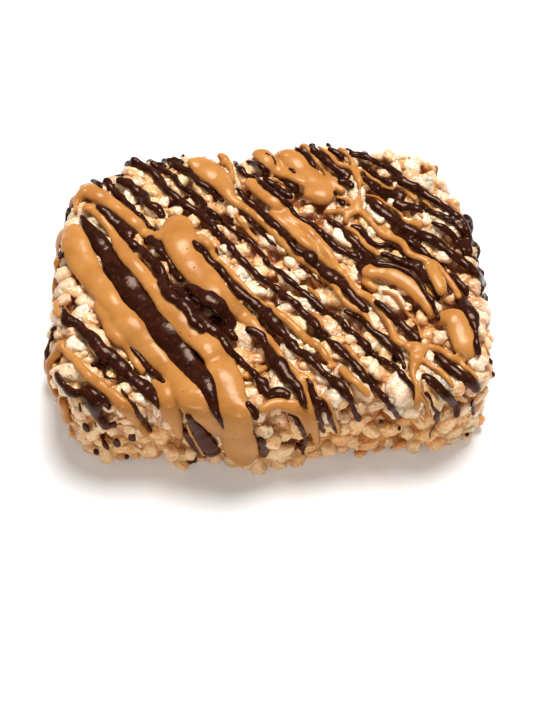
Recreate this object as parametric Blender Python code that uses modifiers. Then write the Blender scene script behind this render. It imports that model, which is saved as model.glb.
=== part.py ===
"""A puffed-rice treat: a block of sticky puffed grains under a drizzle of dark chocolate and peanut butter.

Lengths are in millimetres until a mesh is made, which is in metres, with +Z up and the base on Z = 0.
The block and its drizzle are one piece, because the drizzle has set on the grains.
"""

import math
import random

import bmesh
import bpy
from mathutils import Matrix, Vector, noise
from mathutils.bvhtree import BVHTree

MM = 0.001
NODE = "rice_treat"
SEED = 11

# The block, and the middle of the finished piece, which becomes the origin
CENTRE = Vector((0.5, 3.0, 0.0))
MIDDLE = Vector((0.4, 2.3, 0.0))
HALF_WIDTH = 53.0
HALF_DEPTH = 38.8
HEIGHT = 25.0
CORNER_POWER = 5.5
CAGE_CELLS = (7, 6, 3)
TOP_INSET = 0.025
BASE_INSET = 0.03
WALL_WAVE = 1.4
TOP_WAVE = 1.1
WAVE_LENGTH = 17.0

# Dents push the wall inwards: place, radius, depth. A negative depth is a bulge
WALL_DENTS = {
    "back left corner": ((-52.0, 38.0), 19.0, 8.5),
    "back right corner": ((54.0, 38.0), 15.0, 6.0),
    "back notch": ((-7.0, 41.0), 6.5, 5.0),
    "front left corner": ((-52.0, -38.0), 13.0, 4.0),
    "front right corner": ((54.0, -38.0), 14.0, 5.0),
    "front right step": ((31.0, -41.0), 8.0, 3.0),
    "front bulge": ((-4.0, -41.0), 9.0, -2.0),
}

# Dents in the top: place, radius, depth. A negative depth is a hump
TOP_DENTS = {
    "hollow": ((-6.0, -19.0), 6.0, 5.0),
    "left gap": ((-27.0, -26.0), 5.0, 3.5),
    "back valley": ((-7.0, 36.0), 7.0, 3.5),
    "middle dip": ((9.0, 20.0), 6.0, 1.8),
    "left hump": ((-28.0, -4.0), 22.0, -2.2),
    "back right hump": ((37.0, 35.0), 8.0, -2.2),
    "right hump": ((34.0, -6.0), 11.0, -1.4),
}

# The grains: puffed rice, long and rounded
GRAIN_COUNT = 125
GRAIN_LENGTH = (8.4, 6.0)
GRAIN_ASPECT = 0.56
GRAIN_SPACING = 6.6
GRAIN_SIDES = 5
GRAIN_RINGS = 4
GRAIN_STAND = 0.2
GRAIN_LOWEST = 2.9
GRAIN_TRIES = 9000
GRAIN_TILT = 0.4
GRAIN_CLEARANCE = 0.75
GRAIN_FLATNESS = 0.9

# The drizzle is laid from a point in front of the block and above it, through a level plane at its top
POUR_POINT = Vector((0.0, -172.1, 258.2))
POUR_PLANE = HEIGHT
STRAND_STEP = 7.6
STRAND_CROWN = 0.36
END_TAPER = 0.6
STRAND_LIFT = 0.3
STRAND_SIDES_RESOLUTION = 1
WALL_STEP = 8.0
WALL_TOP = 23.5

# Each strand is its way points on that plane: x, y, width
PEANUT_BUTTER = (
    ((-49.8, 17.5, 4.2), (-46, 5.5, 7.4), (-40, -4, 6), (-30, -18, 6.4), (-22, -28, 4.6), (-15.5, -37, 7.5),
     (-10.2, -44, 5)),
    ((-47.6, 21.6, 3), (-40, 16, 2.6), (-33, 4.5, 4), (-24.2, -7.5, 6), (-14, -19.2, 7.5), (-9.5, -29.2, 8),
     (-7, -41, 8.6), (-5, -50, 6)),
    ((-49.2, 22.5, 2), (-47, 28.6, 4.8), (-39.5, 23.5, 4), (-32.5, 16.7, 3.8), (-24, 13, 4)),
    ((-23.5, 20, 5.5), (-21.5, 11, 9), (-15.5, 0, 8), (-6.5, -10.2, 4.4), (2, -20, 2), (9.2, -33, 1.8)),
    ((-21, 39.2, 3.4), (-15.5, 35.3, 7.2), (-9.8, 27.5, 4), (-2.7, 20, 2.6), (4.8, 11, 2.9), (12, 3, 2.2),
     (24, -10, 2.4), (33, -21, 2.2)),
    ((3, 41.5, 4), (9, 39, 6), (12, 31, 6.5), (14.5, 25, 9), (20, 21.5, 3)),
    ((-8, 31, 4), (-2, 28, 4.4), (3.5, 22, 4), (10, 14.5, 3), (17, 7, 2.4)),
    ((24.5, 3, 3), (31, 3.2, 4), (36.5, -1.5, 4.4), (40, -9, 4.4)),
    ((43.5, -13.5, 5), (46, -17.5, 6), (47, -21.5, 4)),
    ((-49.5, -20.5, 3.4), (-44, -22, 2.4), (-36, -32, 2.6), (-31, -38, 2)),
    ((-26, -31, 3), (-25, -36, 3), (-20, -41, 3.4)),
)
CHOCOLATE = (
    ((-46.5, 18, 2.2), (-41, 9.5, 5), (-35.5, 0, 7.4), (-25.7, -14, 7), (-18, -25.3, 6.6),
     (-13, -34, 3.6)),
    ((-36.3, 38.6, 2), (-27, 30, 2.4), (-11, 12.6, 2.2), (4, -5.2, 2.4), (17.5, -20.9, 2.2),
     (29.5, -37.7, 1.5)),
    ((-30.9, 38.8, 1.6), (-18, 26.5, 1.8), (-4, 11.4, 1.6), (9.7, -5, 2), (24.2, -21, 1.9),
     (34, -32, 1.5)),
    ((-39.5, 32.8, 2.6), (-32, 26.7, 2.7), (-26.7, 20, 2)),
    ((-44.5, 23.6, 1.8), (-37.5, 17.2, 4), (-29, 6.2, 2.3), (-20.2, -5, 2.6), (-10.5, -17.8, 3.2),
     (-1.8, -28.8, 2.4)),
    ((-16.5, -4.3, 2.6), (-12.2, -7.2, 4.8), (-7.5, -14.5, 3), (0, -20, 2.2), (3.5, -25.7, 4),
     (9.7, -37.8, 1.4)),
    ((-16.8, 9.8, 2.2), (-6.5, -4, 2.7), (1.5, -12.5, 3.7), (12.5, -26, 2), (20.2, -38, 1.7)),
    ((-4, 24, 2.2), (6.3, 11, 1.6), (12, 5, 3), (18, -1.2, 3.4), (25, -10, 1.6)),
    ((-6.6, 35.6, 1.8), (5.5, 24, 1.8), (18.5, 9.2, 2), (31, 4, 1.5), (41, -9, 1.4)),
    ((12, 44, 1.8), (16.5, 38.5, 3.2), (22, 32.6, 2.8), (34.5, 26, 4), (45, 19.5, 2.6), (50.5, 11, 2.2)),
    ((22, 42.5, 1.4), (30.7, 37.5, 2.2), (41.2, 27.5, 2.6), (49, 19.5, 3), (51.3, 9.5, 1.6)),
    ((26.7, 24.8, 2.2), (34.5, 16.8, 2.8), (43, 11.2, 3), (50.7, 3.5, 2.6), (53.6, -2, 1.6)),
    ((28, 8.2, 1.6), (38.8, 1.5, 2.5), (42, -7, 1.6)),
    ((45.5, -7, 2), (49, -10.5, 4), (50.3, -20, 1.8)),
    ((39.5, -22.2, 2.3), (46.5, -29, 3), (49, -32.5, 1.8)),
    ((36.2, -27.7, 2.2), (42.2, -34.2, 2.4), (43.9, -39.6, 1.9)),
    ((-49, -10, 1.8), (-43.7, -15.7, 3.2), (-34.5, -25.3, 4), (-26.5, -33.5, 2.8)),
    ((-48.5, -29, 2.6), (-42, -32.5, 3.2), (-38.5, -39.3, 2.8), (-36.2, -43, 2.4)),
    ((-17, -41, 3), (-14, -46.5, 5)),
    ((18.3, -9.3, 1.4), (27.8, -17.8, 2.3), (32, -25, 1.8)),
)

# Runs down the walls that face away: direction round the block in degrees, lowest point, width
WALL_RUNS = (
    (58, 9.0, 2.6), (75, 4.0, 3.6), (88, 12.0, 2.4), (103, 6.0, 3.2), (118, 13.0, 2.4), (133, 7.0, 3.4),
    (150, 12.0, 2.6), (166, 8.0, 4.0), (182, 14.0, 2.4), (8, 12.0, 2.4), (22, 8.0, 3.2), (38, 13.0, 2.4),
)

COLOURS = {"rice_treat": ((0.72, 0.44, 0.19, 1.0), 0.45)}


def clear_scene():
    for item in list(bpy.data.objects):
        bpy.data.objects.remove(item, do_unlink=True)


def new_collection(name):
    collection = bpy.data.collections.new(name)
    bpy.context.scene.collection.children.link(collection)
    return collection


def new_object(name, mesh, collection):
    item = bpy.data.objects.new(name, mesh)
    collection.objects.link(item)
    return item


def food_material(name):
    colour, roughness = COLOURS[name]
    material = bpy.data.materials.new(name)
    material.use_nodes = True
    shader = material.node_tree.nodes["Principled BSDF"]
    shader.inputs["Base Color"].default_value = colour
    shader.inputs["Roughness"].default_value = roughness
    shader.inputs["Metallic"].default_value = 0.0
    return material


def fade(distance, radius):
    """One at the middle of a dent, falling smoothly to nothing."""
    return math.exp(-((distance / radius) ** 2) * 1.4)


def top_height(x, y):
    height = HEIGHT + TOP_WAVE * noise.noise(Vector((x, y, 3.0)) / WAVE_LENGTH)
    for place, radius, depth in TOP_DENTS.values():
        height -= depth * fade((Vector((x, y)) - Vector(place)).length, radius)
    return height


def wall_place(angle):
    """The widest outline of the block in one direction from its middle."""
    way = Vector((math.cos(angle), math.sin(angle)))
    across = abs(way.x / HALF_WIDTH) ** CORNER_POWER
    along = abs(way.y / HALF_DEPTH) ** CORNER_POWER
    reach = (across + along) ** (-1 / CORNER_POWER)
    place = CENTRE.xy + way * reach
    inwards = 0.0
    for dent, radius, depth in WALL_DENTS.values():
        inwards += depth * fade((place - Vector(dent)).length, radius)
    inwards += WALL_WAVE * noise.noise(Vector((place.x, place.y, 9.0)) / WAVE_LENGTH)
    return CENTRE.xy + way * (reach - inwards)


def settle(corner):
    """Moves a point of the cube from -1 to 1 to its place on the block."""
    u, v, w = corner
    share = max(abs(u), abs(v))
    if share < 1e-6:
        plan = CENTRE.xy.copy()
    else:
        edge = wall_place(math.atan2(v * HALF_DEPTH, u * HALF_WIDTH))
        inset = TOP_INSET * max(0.0, w) ** 2 + BASE_INSET * max(0.0, -w) ** 2
        plan = CENTRE.xy + (edge - CENTRE.xy) * share * (1.0 - inset)
    return Vector((plan.x, plan.y, top_height(plan.x, plan.y) * (w + 1.0) / 2.0))


def block_cage():
    """A cube cut into cells, each point of it moved to the block's outline and height."""
    shape = bmesh.new()
    bmesh.ops.create_cube(shape, size=2.0)
    for axis, cells in enumerate(CAGE_CELLS):
        normal = Vector((0.0, 0.0, 0.0))
        normal[axis] = 1.0
        for cut in range(1, cells):
            everything = shape.verts[:] + shape.edges[:] + shape.faces[:]
            at = normal * (2.0 * cut / cells - 1.0)
            bmesh.ops.bisect_plane(shape, geom=everything, plane_co=at, plane_no=normal)
    for vert in shape.verts:
        vert.co = settle(vert.co.copy()) * MM
    bmesh.ops.recalc_face_normals(shape, faces=shape.faces)
    mesh = bpy.data.meshes.new("block")
    shape.to_mesh(mesh)
    shape.free()
    return mesh


def make_block(collection):
    block = new_object(NODE, block_cage(), collection)
    smooth = block.modifiers.new("smooth", "SUBSURF")
    smooth.levels = 1
    smooth.render_levels = 1
    bake(block)
    return block


def bake(item):
    """The object's own mesh becomes what its modifiers make of it."""
    evaluated = item.evaluated_get(bpy.context.evaluated_depsgraph_get())
    mesh = bpy.data.meshes.new_from_object(evaluated)
    item.modifiers.clear()
    item.data = mesh


def surface_of(item):
    """The object's surface as a search tree in millimetres."""
    scaled = [vert.co / MM for vert in item.data.vertices]
    return BVHTree.FromPolygons(scaled, [tuple(face.vertices) for face in item.data.polygons])


def random_places(item, draw):
    """Points spread over the object's faces, larger faces more often, with their normals."""
    faces = item.data.polygons
    corners = [[item.data.vertices[i].co / MM for i in face.vertices] for face in faces]
    for index in draw.choices(range(len(faces)), weights=[face.area for face in faces], k=GRAIN_TRIES):
        shares = [draw.random() + 0.05 for _ in corners[index]]
        place = sum((c * s for c, s in zip(corners[index], shares)), Vector()) / sum(shares)
        yield place, faces[index].normal.copy()


def grain_mesh(length, width, height):
    """A rounded grain with few sides, along X."""
    shape = bmesh.new()
    bmesh.ops.create_uvsphere(shape, u_segments=GRAIN_SIDES, v_segments=GRAIN_RINGS, radius=0.5)
    bmesh.ops.rotate(shape, verts=shape.verts, matrix=Matrix.Rotation(math.pi / 2, 3, "Y"))
    bmesh.ops.scale(shape, verts=shape.verts, vec=Vector((length, width, height)) * MM)
    mesh = bpy.data.meshes.new("grain")
    shape.to_mesh(mesh)
    shape.free()
    return mesh


def lies_free(place, normal, taken, covered):
    """Whether a grain there stands clear of the base, of its neighbours and of the drizzle."""
    low = place.z < GRAIN_LOWEST or normal.z < -0.35
    if low or any((place - other).length < GRAIN_SPACING for other in taken):
        return False
    return all((place - centre).length > max(radius, STRAND_STEP / 2) for centre, radius in covered)


def make_grains(block, covered, collection):
    """Grains over what shows of the top and the walls, the largest first."""
    draw = random.Random(SEED)
    taken = []
    for place, normal in random_places(block, draw):
        if len(taken) == GRAIN_COUNT:
            break
        if not lies_free(place, normal, taken, covered):
            continue
        share = len(taken) / GRAIN_COUNT
        length = GRAIN_LENGTH[0] + (GRAIN_LENGTH[1] - GRAIN_LENGTH[0]) * share
        width = length * GRAIN_ASPECT * draw.uniform(0.85, 1.15)
        turn = normal.to_track_quat("Z", "Y").to_matrix().to_4x4()
        spin = Matrix.Rotation(draw.uniform(0, math.pi), 4, "Z")
        tilt = Matrix.Rotation(draw.uniform(-GRAIN_TILT, GRAIN_TILT), 4, "Y")
        out = place + normal * GRAIN_STAND * width
        out.z = max(out.z, width * GRAIN_CLEARANCE)
        grain = new_object("grain", grain_mesh(length, width, width * GRAIN_FLATNESS), collection)
        grain.matrix_world = Matrix.Translation(out * MM) @ turn @ spin @ tilt
        taken.append(place)


def between(points, step):
    """A smooth curve through the points, read about every step."""
    ends = [points[0] * 2 - points[1], *points, points[-1] * 2 - points[-2]]
    for a, b, c, d in zip(ends, ends[1:], ends[2:], ends[3:]):
        count = max(1, round((c - b).length / step))
        for i in range(count):
            t = i / count
            square = (a * 2 - b * 5 + c * 4 - d) * t**2
            cube = (b * 3 - a - c * 3 + d) * t**3
            yield (b * 2 + (c - a) * t + square + cube) / 2
    yield points[-1]


def laid(surface, strand):
    """The strand's middle line and radii once it has fallen onto the surface."""
    points = []
    for x, y, width in between([Vector(p) for p in strand], STRAND_STEP):
        aim = (Vector((x, y, POUR_PLANE)) - POUR_POINT).normalized()
        place, normal, _, _ = surface.ray_cast(POUR_POINT, aim)
        if place is None:
            continue
        points.append(sunk(place, normal, width))
    for end in (0, -1):
        centre, radius = points[end]
        points[end] = (centre, radius * END_TAPER)
    return points


def sunk(place, normal, width):
    """A round tube sunk so that what shows is a low crown of the strand's width."""
    crown = width * STRAND_CROWN
    radius = (width * width / 4 + crown * crown) / (2 * crown)
    centre = place + normal * (STRAND_LIFT + crown - radius)
    centre.z = max(centre.z, radius)
    return centre, radius


def wall_run(surface, degrees, low, width):
    """A run of drizzle from the top edge down a wall, its end a fuller drop."""
    angle = math.radians(degrees)
    aim = Vector((math.cos(angle), math.sin(angle), 0.0))
    count = max(2, round((WALL_TOP - low) / WALL_STEP))
    points = []
    for i in range(count + 1):
        z = WALL_TOP + (low - WALL_TOP) * i / count
        start = CENTRE + aim * 3 * HALF_WIDTH
        start.z = z
        place, normal, _, _ = surface.ray_cast(start, -aim)
        full = 1.0 + 0.25 * (i == count) - 0.15 * (0 < i < count)
        points.append(sunk(place, normal, width * full))
    return points


def tube(points, collection):
    """A closed tube through the points, each with its radius."""
    route = bpy.data.curves.new("strand", "CURVE")
    route.dimensions = "3D"
    route.bevel_depth = MM
    route.bevel_resolution = STRAND_SIDES_RESOLUTION
    route.use_fill_caps = True
    line = route.splines.new("POLY")
    line.points.add(len(points) - 1)
    for point, (centre, radius) in zip(line.points, points):
        point.co = (*(centre * MM), 1.0)
        point.radius = radius
    curve = bpy.data.objects.new("strand", route)
    collection.objects.link(curve)
    bpy.context.view_layer.update()
    evaluated = curve.evaluated_get(bpy.context.evaluated_depsgraph_get())
    mesh = bpy.data.meshes.new_from_object(evaluated)
    weld_caps(mesh)
    new_object("strand", mesh, collection)
    bpy.data.objects.remove(curve)


def weld_caps(mesh):
    shape = bmesh.new()
    shape.from_mesh(mesh)
    bmesh.ops.remove_doubles(shape, verts=shape.verts, dist=1e-6)
    bmesh.ops.recalc_face_normals(shape, faces=shape.faces)
    shape.to_mesh(mesh)
    shape.free()


def make_drizzle(block, collection):
    """The strands and the runs on the walls. Returns their centres and radii, which grains keep clear of."""
    surface = surface_of(block)
    routes = [laid(surface, strand) for strand in CHOCOLATE + PEANUT_BUTTER]
    routes += [wall_run(surface, degrees, low, width) for degrees, low, width in WALL_RUNS]
    for route in routes:
        tube(route, collection)
    return [point for route in routes for point in route]


def fuse(block, collection):
    """Joins the grains and the drizzle to the block, and removes what was joined."""
    join = block.modifiers.new("fuse", "BOOLEAN")
    join.operation = "UNION"
    join.operand_type = "COLLECTION"
    join.collection = collection
    join.solver = "MANIFOLD"
    bake(block)
    for item in list(collection.objects):
        bpy.data.objects.remove(item, do_unlink=True)
    bpy.data.collections.remove(collection)


def keep_outer_shell(block):
    """Fills sealed hollows and drops loose scraps: only the largest shell stays."""
    shape = bmesh.new()
    shape.from_mesh(block.data)
    left = set(shape.verts)
    shells = []
    while left:
        rim = [left.pop()]
        reached = set(rim)
        while rim:
            vert = rim.pop()
            near = {edge.other_vert(vert) for edge in vert.link_edges} & left
            left -= near
            reached |= near
            rim.extend(near)
        shells.append(reached)
    shells.sort(key=len)
    for shell in shells[:-1]:
        bmesh.ops.delete(shape, geom=list(shell), context="VERTS")
    shape.to_mesh(block.data)
    shape.free()


def main():
    clear_scene()
    treat = new_collection("puffed_rice_treat")
    pieces = new_collection("fused_pieces")
    block = make_block(treat)
    covered = make_drizzle(block, pieces)
    make_grains(block, covered, pieces)
    bpy.context.view_layer.update()
    fuse(block, pieces)
    keep_outer_shell(block)
    block.data.transform(Matrix.Translation(-MIDDLE * MM))
    block.data.materials.clear()
    block.data.materials.append(food_material(NODE))
    block.data.shade_smooth()
    block.data.set_sharp_from_angle(angle=math.radians(40))


main()
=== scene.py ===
"""The looks of a puffed-rice treat with dark chocolate and peanut butter drizzle.

Shapes are worked out in millimetres, in the frame that the drizzle's routes are given in.
They become metres, in the frame of the solid, when a mesh is made.
"""

import math
import random

import bmesh
import bpy
import numpy as np
from mathutils import Euler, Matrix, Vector, noise
from mathutils.bvhtree import BVHTree


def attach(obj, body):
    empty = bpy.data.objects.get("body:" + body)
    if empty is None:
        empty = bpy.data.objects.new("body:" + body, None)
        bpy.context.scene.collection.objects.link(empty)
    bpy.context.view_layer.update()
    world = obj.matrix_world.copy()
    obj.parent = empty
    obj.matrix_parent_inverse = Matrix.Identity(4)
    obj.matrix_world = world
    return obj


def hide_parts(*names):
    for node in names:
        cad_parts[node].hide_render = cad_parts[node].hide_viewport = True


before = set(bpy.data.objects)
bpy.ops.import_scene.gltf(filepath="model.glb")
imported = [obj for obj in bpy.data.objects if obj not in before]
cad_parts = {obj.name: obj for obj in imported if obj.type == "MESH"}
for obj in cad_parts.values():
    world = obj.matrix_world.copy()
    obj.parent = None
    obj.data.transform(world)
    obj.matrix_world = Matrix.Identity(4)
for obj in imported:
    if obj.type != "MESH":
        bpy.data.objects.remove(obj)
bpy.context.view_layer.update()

MM = 0.001
NODE = "rice_treat"
SEED = 7

# The block's middle, and where the middle of the solid's box lies in this frame
CENTRE = Vector((0.5, 3.0, 0.0))
MIDDLE = np.array((0.4, 2.3, 0.0))
HALF_WIDTH = 53.0
HALF_DEPTH = 38.8
HEIGHT = 25.0
CAGE_CELLS = (18, 14, 6)
FORM_LEVELS = 2

# How far the walls draw in at the top and spread at the base, and how late each begins
TOP_INSET = 1.9
TOP_POWER = 6
BASE_FLARE = 1.6
BASE_POWER = 2

# Waves over the top and round the walls
TOP_WAVE = 1.1
WALL_WAVE = 0.9
WALL_WAVE_PACE = 1.4
WAVE_LENGTH = 17.0
DENT_FALL = 1.4

# The widest outline of the block, anticlockwise from the right wall
OUTLINE = (
    (54.4, -2.0), (54.2, 6.0), (53.4, 14.0), (52.2, 20.5), (49.2, 28.0), (46.4, 34.5), (43.6, 38.8),
    (38.0, 41.0), (32.5, 43.0), (22.0, 43.6), (11.0, 44.0), (4.0, 43.4), (-2.5, 43.0), (-6.5, 40.2),
    (-11.0, 40.6), (-17.0, 41.6), (-24.0, 41.8), (-30.0, 41.0), (-37.0, 40.4), (-41.0, 36.4),
    (-44.5, 33.8), (-49.0, 30.8), (-51.4, 25.0), (-52.4, 18.0), (-52.8, 9.0), (-52.8, 0.0),
    (-52.6, -8.0), (-52.4, -15.0), (-52.2, -21.0), (-51.0, -26.0), (-48.4, -29.4), (-45.4, -32.6),
    (-43.2, -35.2), (-38.5, -36.8), (-33.0, -36.8), (-29.5, -36.0), (-25.0, -37.1), (-19.5, -37.6),
    (-13.5, -37.3), (-9.0, -38.5), (-4.5, -40.3), (0.5, -39.3), (5.5, -37.9), (10.0, -36.2),
    (16.0, -35.4), (21.0, -36.0), (27.0, -35.6), (32.0, -33.9), (35.5, -32.8), (40.5, -34.6),
    (44.5, -33.2), (48.5, -31.2), (52.0, -29.4), (53.4, -24.0), (54.2, -19.0), (54.6, -12.0),
)

# Dents in the top: place, radius, depth. A negative depth is a hump
TOP_DENTS = {
    "hollow": ((-6.0, -19.0), 6.0, 5.0),
    "left gap": ((-27.0, -26.0), 5.0, 3.5),
    "back valley": ((-7.0, 36.0), 6.0, 2.4),
    "middle dip": ((9.0, 20.0), 6.0, 1.8),
    "left hump": ((-28.0, -4.0), 22.0, -2.2),
    "back right hump": ((39.0, 35.0), 8.5, -3.2),
    "right hump": ((34.0, -6.0), 11.0, -1.4),
}

# Holes in the front wall where grains are missing: place, radius
CAVITIES = (
    ((5.8, -38.0, 10.0), 3.4), ((18.7, -36.0, 21.0), 2.1),
    ((25.8, -35.6, 18.5), 2.1), ((30.5, -35.2, 14.0), 1.8),
)
CAVITY_DEPTH = 4.0

# The grains: how many, how far apart, how deep their middles lie, and their length
GRAIN_LAYERS = {
    "under": {"count": 480, "apart": 4.0, "depth": 2.9, "length": (4.8, 7.0), "fine": False},
    "outer": {"count": 1150, "apart": 3.25, "depth": 0.9, "length": (4.4, 7.6), "fine": True},
}
SPREAD_TRIES = 24
BASE_SHARE = 0.5
BASE_SLOPE = -0.7
FINE_SLOPE = -0.5
FINE_DETAIL = 3
COARSE_DETAIL = 2

# The size and turn of a grain against its length and the surface
LONG_SHARE = 0.06
LONG_STRETCH = 1.25
GRAIN_ASPECT = (0.46, 0.68)
GRAIN_FLATNESS = (0.8, 1.0)
GRAIN_TILT = 0.45
CLUMP_HEIGHT = 1.2
CLUMP_LENGTH = 9.0
GROUND_GAP = 0.03
GROUND_SPREAD = 0.04

# The skin of a grain: bend, narrowing towards one end, crease, blisters and ridges
GRAIN_BEND = 0.7
GRAIN_PINCH = 0.35
CREASE_SLANT = 0.4
CREASE_DEPTH = (0.15, 0.5)
CREASE_WIDTH = 0.28
WIDE_BLISTER = {"height": 0.6, "pace": 0.5}
FINE_BLISTER = {"height": 0.3, "pace": 1.7}
RIDGE = {"height": 0.65, "level": 0.35, "pace": 0.8}

# Grains of a kind lie in patches: below these picks a grain is pale, or else golden
PALE_BELOW = 0.36
GOLDEN_BELOW = 0.7
PATCH_SHARE = 0.35
PATCH_LENGTH = 15

# The sticky core and the glaze over it
CORE_INSET = 2.6
CORE_LUMPS = 1.1
CORE_WIDE_LENGTH = 4.0
CORE_FINE_LENGTH = 1.7
CORE_FINE_SHARE = 0.6
CORE_BASE = 0.4
GLAZE_VOXEL = 0.76
GLAZE_RELAX = 6
GLAZE_INSET = 0.4

# Large pale grains that stand out: x, y on the pouring plane, length, width, turn in degrees
LARGE_GRAINS = (
    (30.6, -31.5, 8.4, 5.9, 80), (27.8, 20.3, 7.4, 3.2, -50), (19.1, 12.2, 6.9, 3.0, -50),
    (30.6, -7.0, 7.4, 5.4, -40), (44.7, 6.8, 4.4, 3.4, 0), (51.1, -2.2, 4.4, 3.4, -60),
    (21.7, -21.5, 4.0, 3.2, 0), (25.3, -26.0, 4.2, 3.0, 90), (16.1, -33.7, 5.2, 3.8, 80),
    (37.9, -26.6, 5.6, 3.4, -45), (42.3, -30.4, 4.8, 3.4, -40), (45.5, -36.9, 4.6, 3.6, 0),
    (49.4, -24.9, 5.0, 4.6, 0), (41.5, -17.5, 4.2, 3.6, 0), (-45.1, -20.1, 5.8, 3.9, -20),
    (-6.5, -0.3, 4.4, 2.8, 10), (-2.3, -4.3, 4.4, 2.6, -10), (-33.9, 31.1, 4.4, 3.8, 0),
    (-26.7, 24.3, 3.8, 2.9, 80), (-6.3, -23.8, 3.6, 2.6, -30), (3.0, -47.8, 7.4, 4.8, -20),
    (-0.3, -43.2, 4.6, 3.8, -40), (-43.5, -1.3, 4.8, 3.4, 70), (-44.5, -10.3, 4.6, 3.4, 60),
    (12.9, -12.9, 4.4, 2.8, -20), (9.4, -8.8, 4.0, 2.6, -40), (38.4, 36.3, 5.4, 3.2, -30),
    (41.5, 32.1, 4.8, 3.0, 30), (35.5, 39.8, 4.6, 2.8, 0), (43.8, 37.3, 4.8, 2.6, -20),
    (20.4, -6.4, 4.0, 2.6, -45), (8.3, 1.2, 3.8, 2.6, 0), (5.7, -6.4, 4.0, 2.6, -45),
    (25.1, -19.5, 3.8, 2.8, 30), (13.0, -26.6, 4.0, 2.8, 0), (-38.2, -6.4, 3.6, 2.8, 0),
    (-47.7, -15.2, 4.4, 3.2, 80), (15.3, -15.2, 4.0, 2.6, -60), (-14.5, 20.3, 3.6, 2.6, -40),
    (-10.4, 9.0, 3.6, 2.4, -50),
)
LARGE_LIFT = 0.1
LARGE_FLATNESS = 0.75

# The drizzle falls from here through a level plane at the top of the block.
# The camera stands here as well
POUR_POINT = Vector((0.0, -172.1, 258.2))
POUR_PLANE = 25.0
CAMERA_PITCH = 57.33
FOCAL_PIXELS = 1170.0
LONG_SIDE_PIXELS = 711.0
SENSOR = 36.0
CLIP = (0.01, 20.0)

# The floor and the studio lights, in metres and watts. The lights aim at the treat's middle
FLOOR_REACH = 3.0
FLOOR_COLOUR = (0.87, 0.89, 0.91, 1.0)
FLOOR_GLOW = 0.1
SKY_COLOUR = (1.0, 0.965, 0.92, 1.0)
SKY_STRENGTH = 0.29
LIGHT_TARGET = Vector((0.0, 0.0, 0.012))
LIGHTS = {
    "key": {
        "place": (0.08, 0.24, 0.64), "size": 0.34, "power": 6.9, "colour": (1.0, 0.98, 0.96),
    },
    "front fill": {
        "place": (-0.1, -0.66, 0.3), "size": 0.07, "power": 1.15, "colour": (1.0, 0.89, 0.74),
    },
}

# Colours as seen, from 0 to 255. Rice has a pale, a middle and a glazed tone
# The glazed tone of the rice is also painted shade, in the dips between grains and in the pits
RICE_COLOURS = {
    "pale": ((243, 217, 193), (236, 198, 155), (202, 132, 66)),
    "golden": ((247, 216, 182), (233, 187, 131), (194, 119, 52)),
    "toasted": ((241, 202, 155), (223, 165, 99), (182, 104, 40)),
}
# Painted warm light, multiplied into the colour of the rice on the walls
PAINTED_WALL_WARMTH = (1.0, 0.88, 0.68)
GLAZE_TONES = ((0.36, (208, 134, 58)), (0.52, (228, 168, 98)), (0.68, (244, 206, 160)))
# Painted shade for the glaze where it lies deep: on the walls, and darker on top
GLAZE_WALL_DIP_SHADE = (204, 138, 70)
GLAZE_TOP_DIP_SHADE = (140, 72, 20)
CHOCOLATE_TONES = ((0.38, (36, 11, 4)), (0.66, (54, 20, 9)))
CHOCOLATE_SPOT = (98, 54, 38)
# Painted light: chocolate on the walls is coloured lighter and redder than on top
CHOCOLATE_WALL_PAINTED_LIGHT = (66, 24, 9)
CHOCOLATE_SHINE = (1.0, 0.7, 0.54, 1.0)
PEANUT_TONES = ((0.3, (168, 110, 50)), (0.7, (190, 132, 70)))
PEANUT_SPECK = (120, 70, 30)
PEANUT_SHINE = (1.0, 0.9, 0.74, 1.0)

# How far red, green and blue light spread inside rice and inside the glaze and peanut butter
RICE_SPREAD = (1.0, 0.56, 0.26)
GLAZE_SPREAD = (1.0, 0.55, 0.25)

# How a strand follows what it lies on, in samples of this step.
# Pairs hold a value for a thin strand, and what each millimetre of width adds to it
LAY_STEP = 0.55
REACH_EASE = (1.0, 0.3)
BRIDGE = (1.6, 0.2)
HEIGHT_EASE = (0.8, 0.38)
DEEPEST_DIP = -2.5
HIGHEST_RISE = 4.5
FEELER_SHARE = 0.3
GRAZE_STEPS = 5
GRAZE_GAP = 4.0

# The section of a strand: thin ones are round, wide ones flat
TUBE_SIDES = 16
ROUND_SHARE = 0.82
FLAT_THICKNESS = (0.95, 0.3)
SKIN_LOSS = 0.05
END_SHARE = 0.02

# How unevenly a strand flows: beads along it, and a sway from side to side
PATH_EASE = 0.8
BEAD_LENGTH = 1.9
SWAY_STRETCH = 1.6
WOBBLE_WIDTH = 3.0
MOST_WOBBLE = 2.0
THICK_WOBBLE = 0.6

# Runs down the walls, towards the middle of the block from this far out
FAR_OUT = 120.0
RUN_START = 0.9
RUN_SWING = 0.06
RUN_WANDER = 0.05
RUN_WANDER_PACE = 2.5
RUN_NECK = (0.2, 0.45)
RUN_BULB = 0.35

# Loose drops
DROP_SPREAD = 0.28
DROP_STRETCH = 1.6
DROP_HEIGHT = 0.75
FAR_DROPS = 34
FAR_DROP_LIFT = (-9.0, 4.0)
FAR_DROP_WIDTH = (0.5, 1.5)
FAR_DROP_STRETCH = (1.0, 2.4)

# How deep each kind of strand sinks into what it lies on, and how unevenly it flows
PEANUT_LAY = {"sink": 0.2, "wobble": 0.12}
BAND_LAY = {"sink": 0.62, "wobble": 0.06}
DARK_LAY = {"sink": 0.2, "wobble": 0.3}
OVER_LAY = {"sink": 0.25, "wobble": 0.16}
SKIN_VOXEL = 0.42
DARK_RELAX = 3
PEANUT_RELAX = 4

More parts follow.
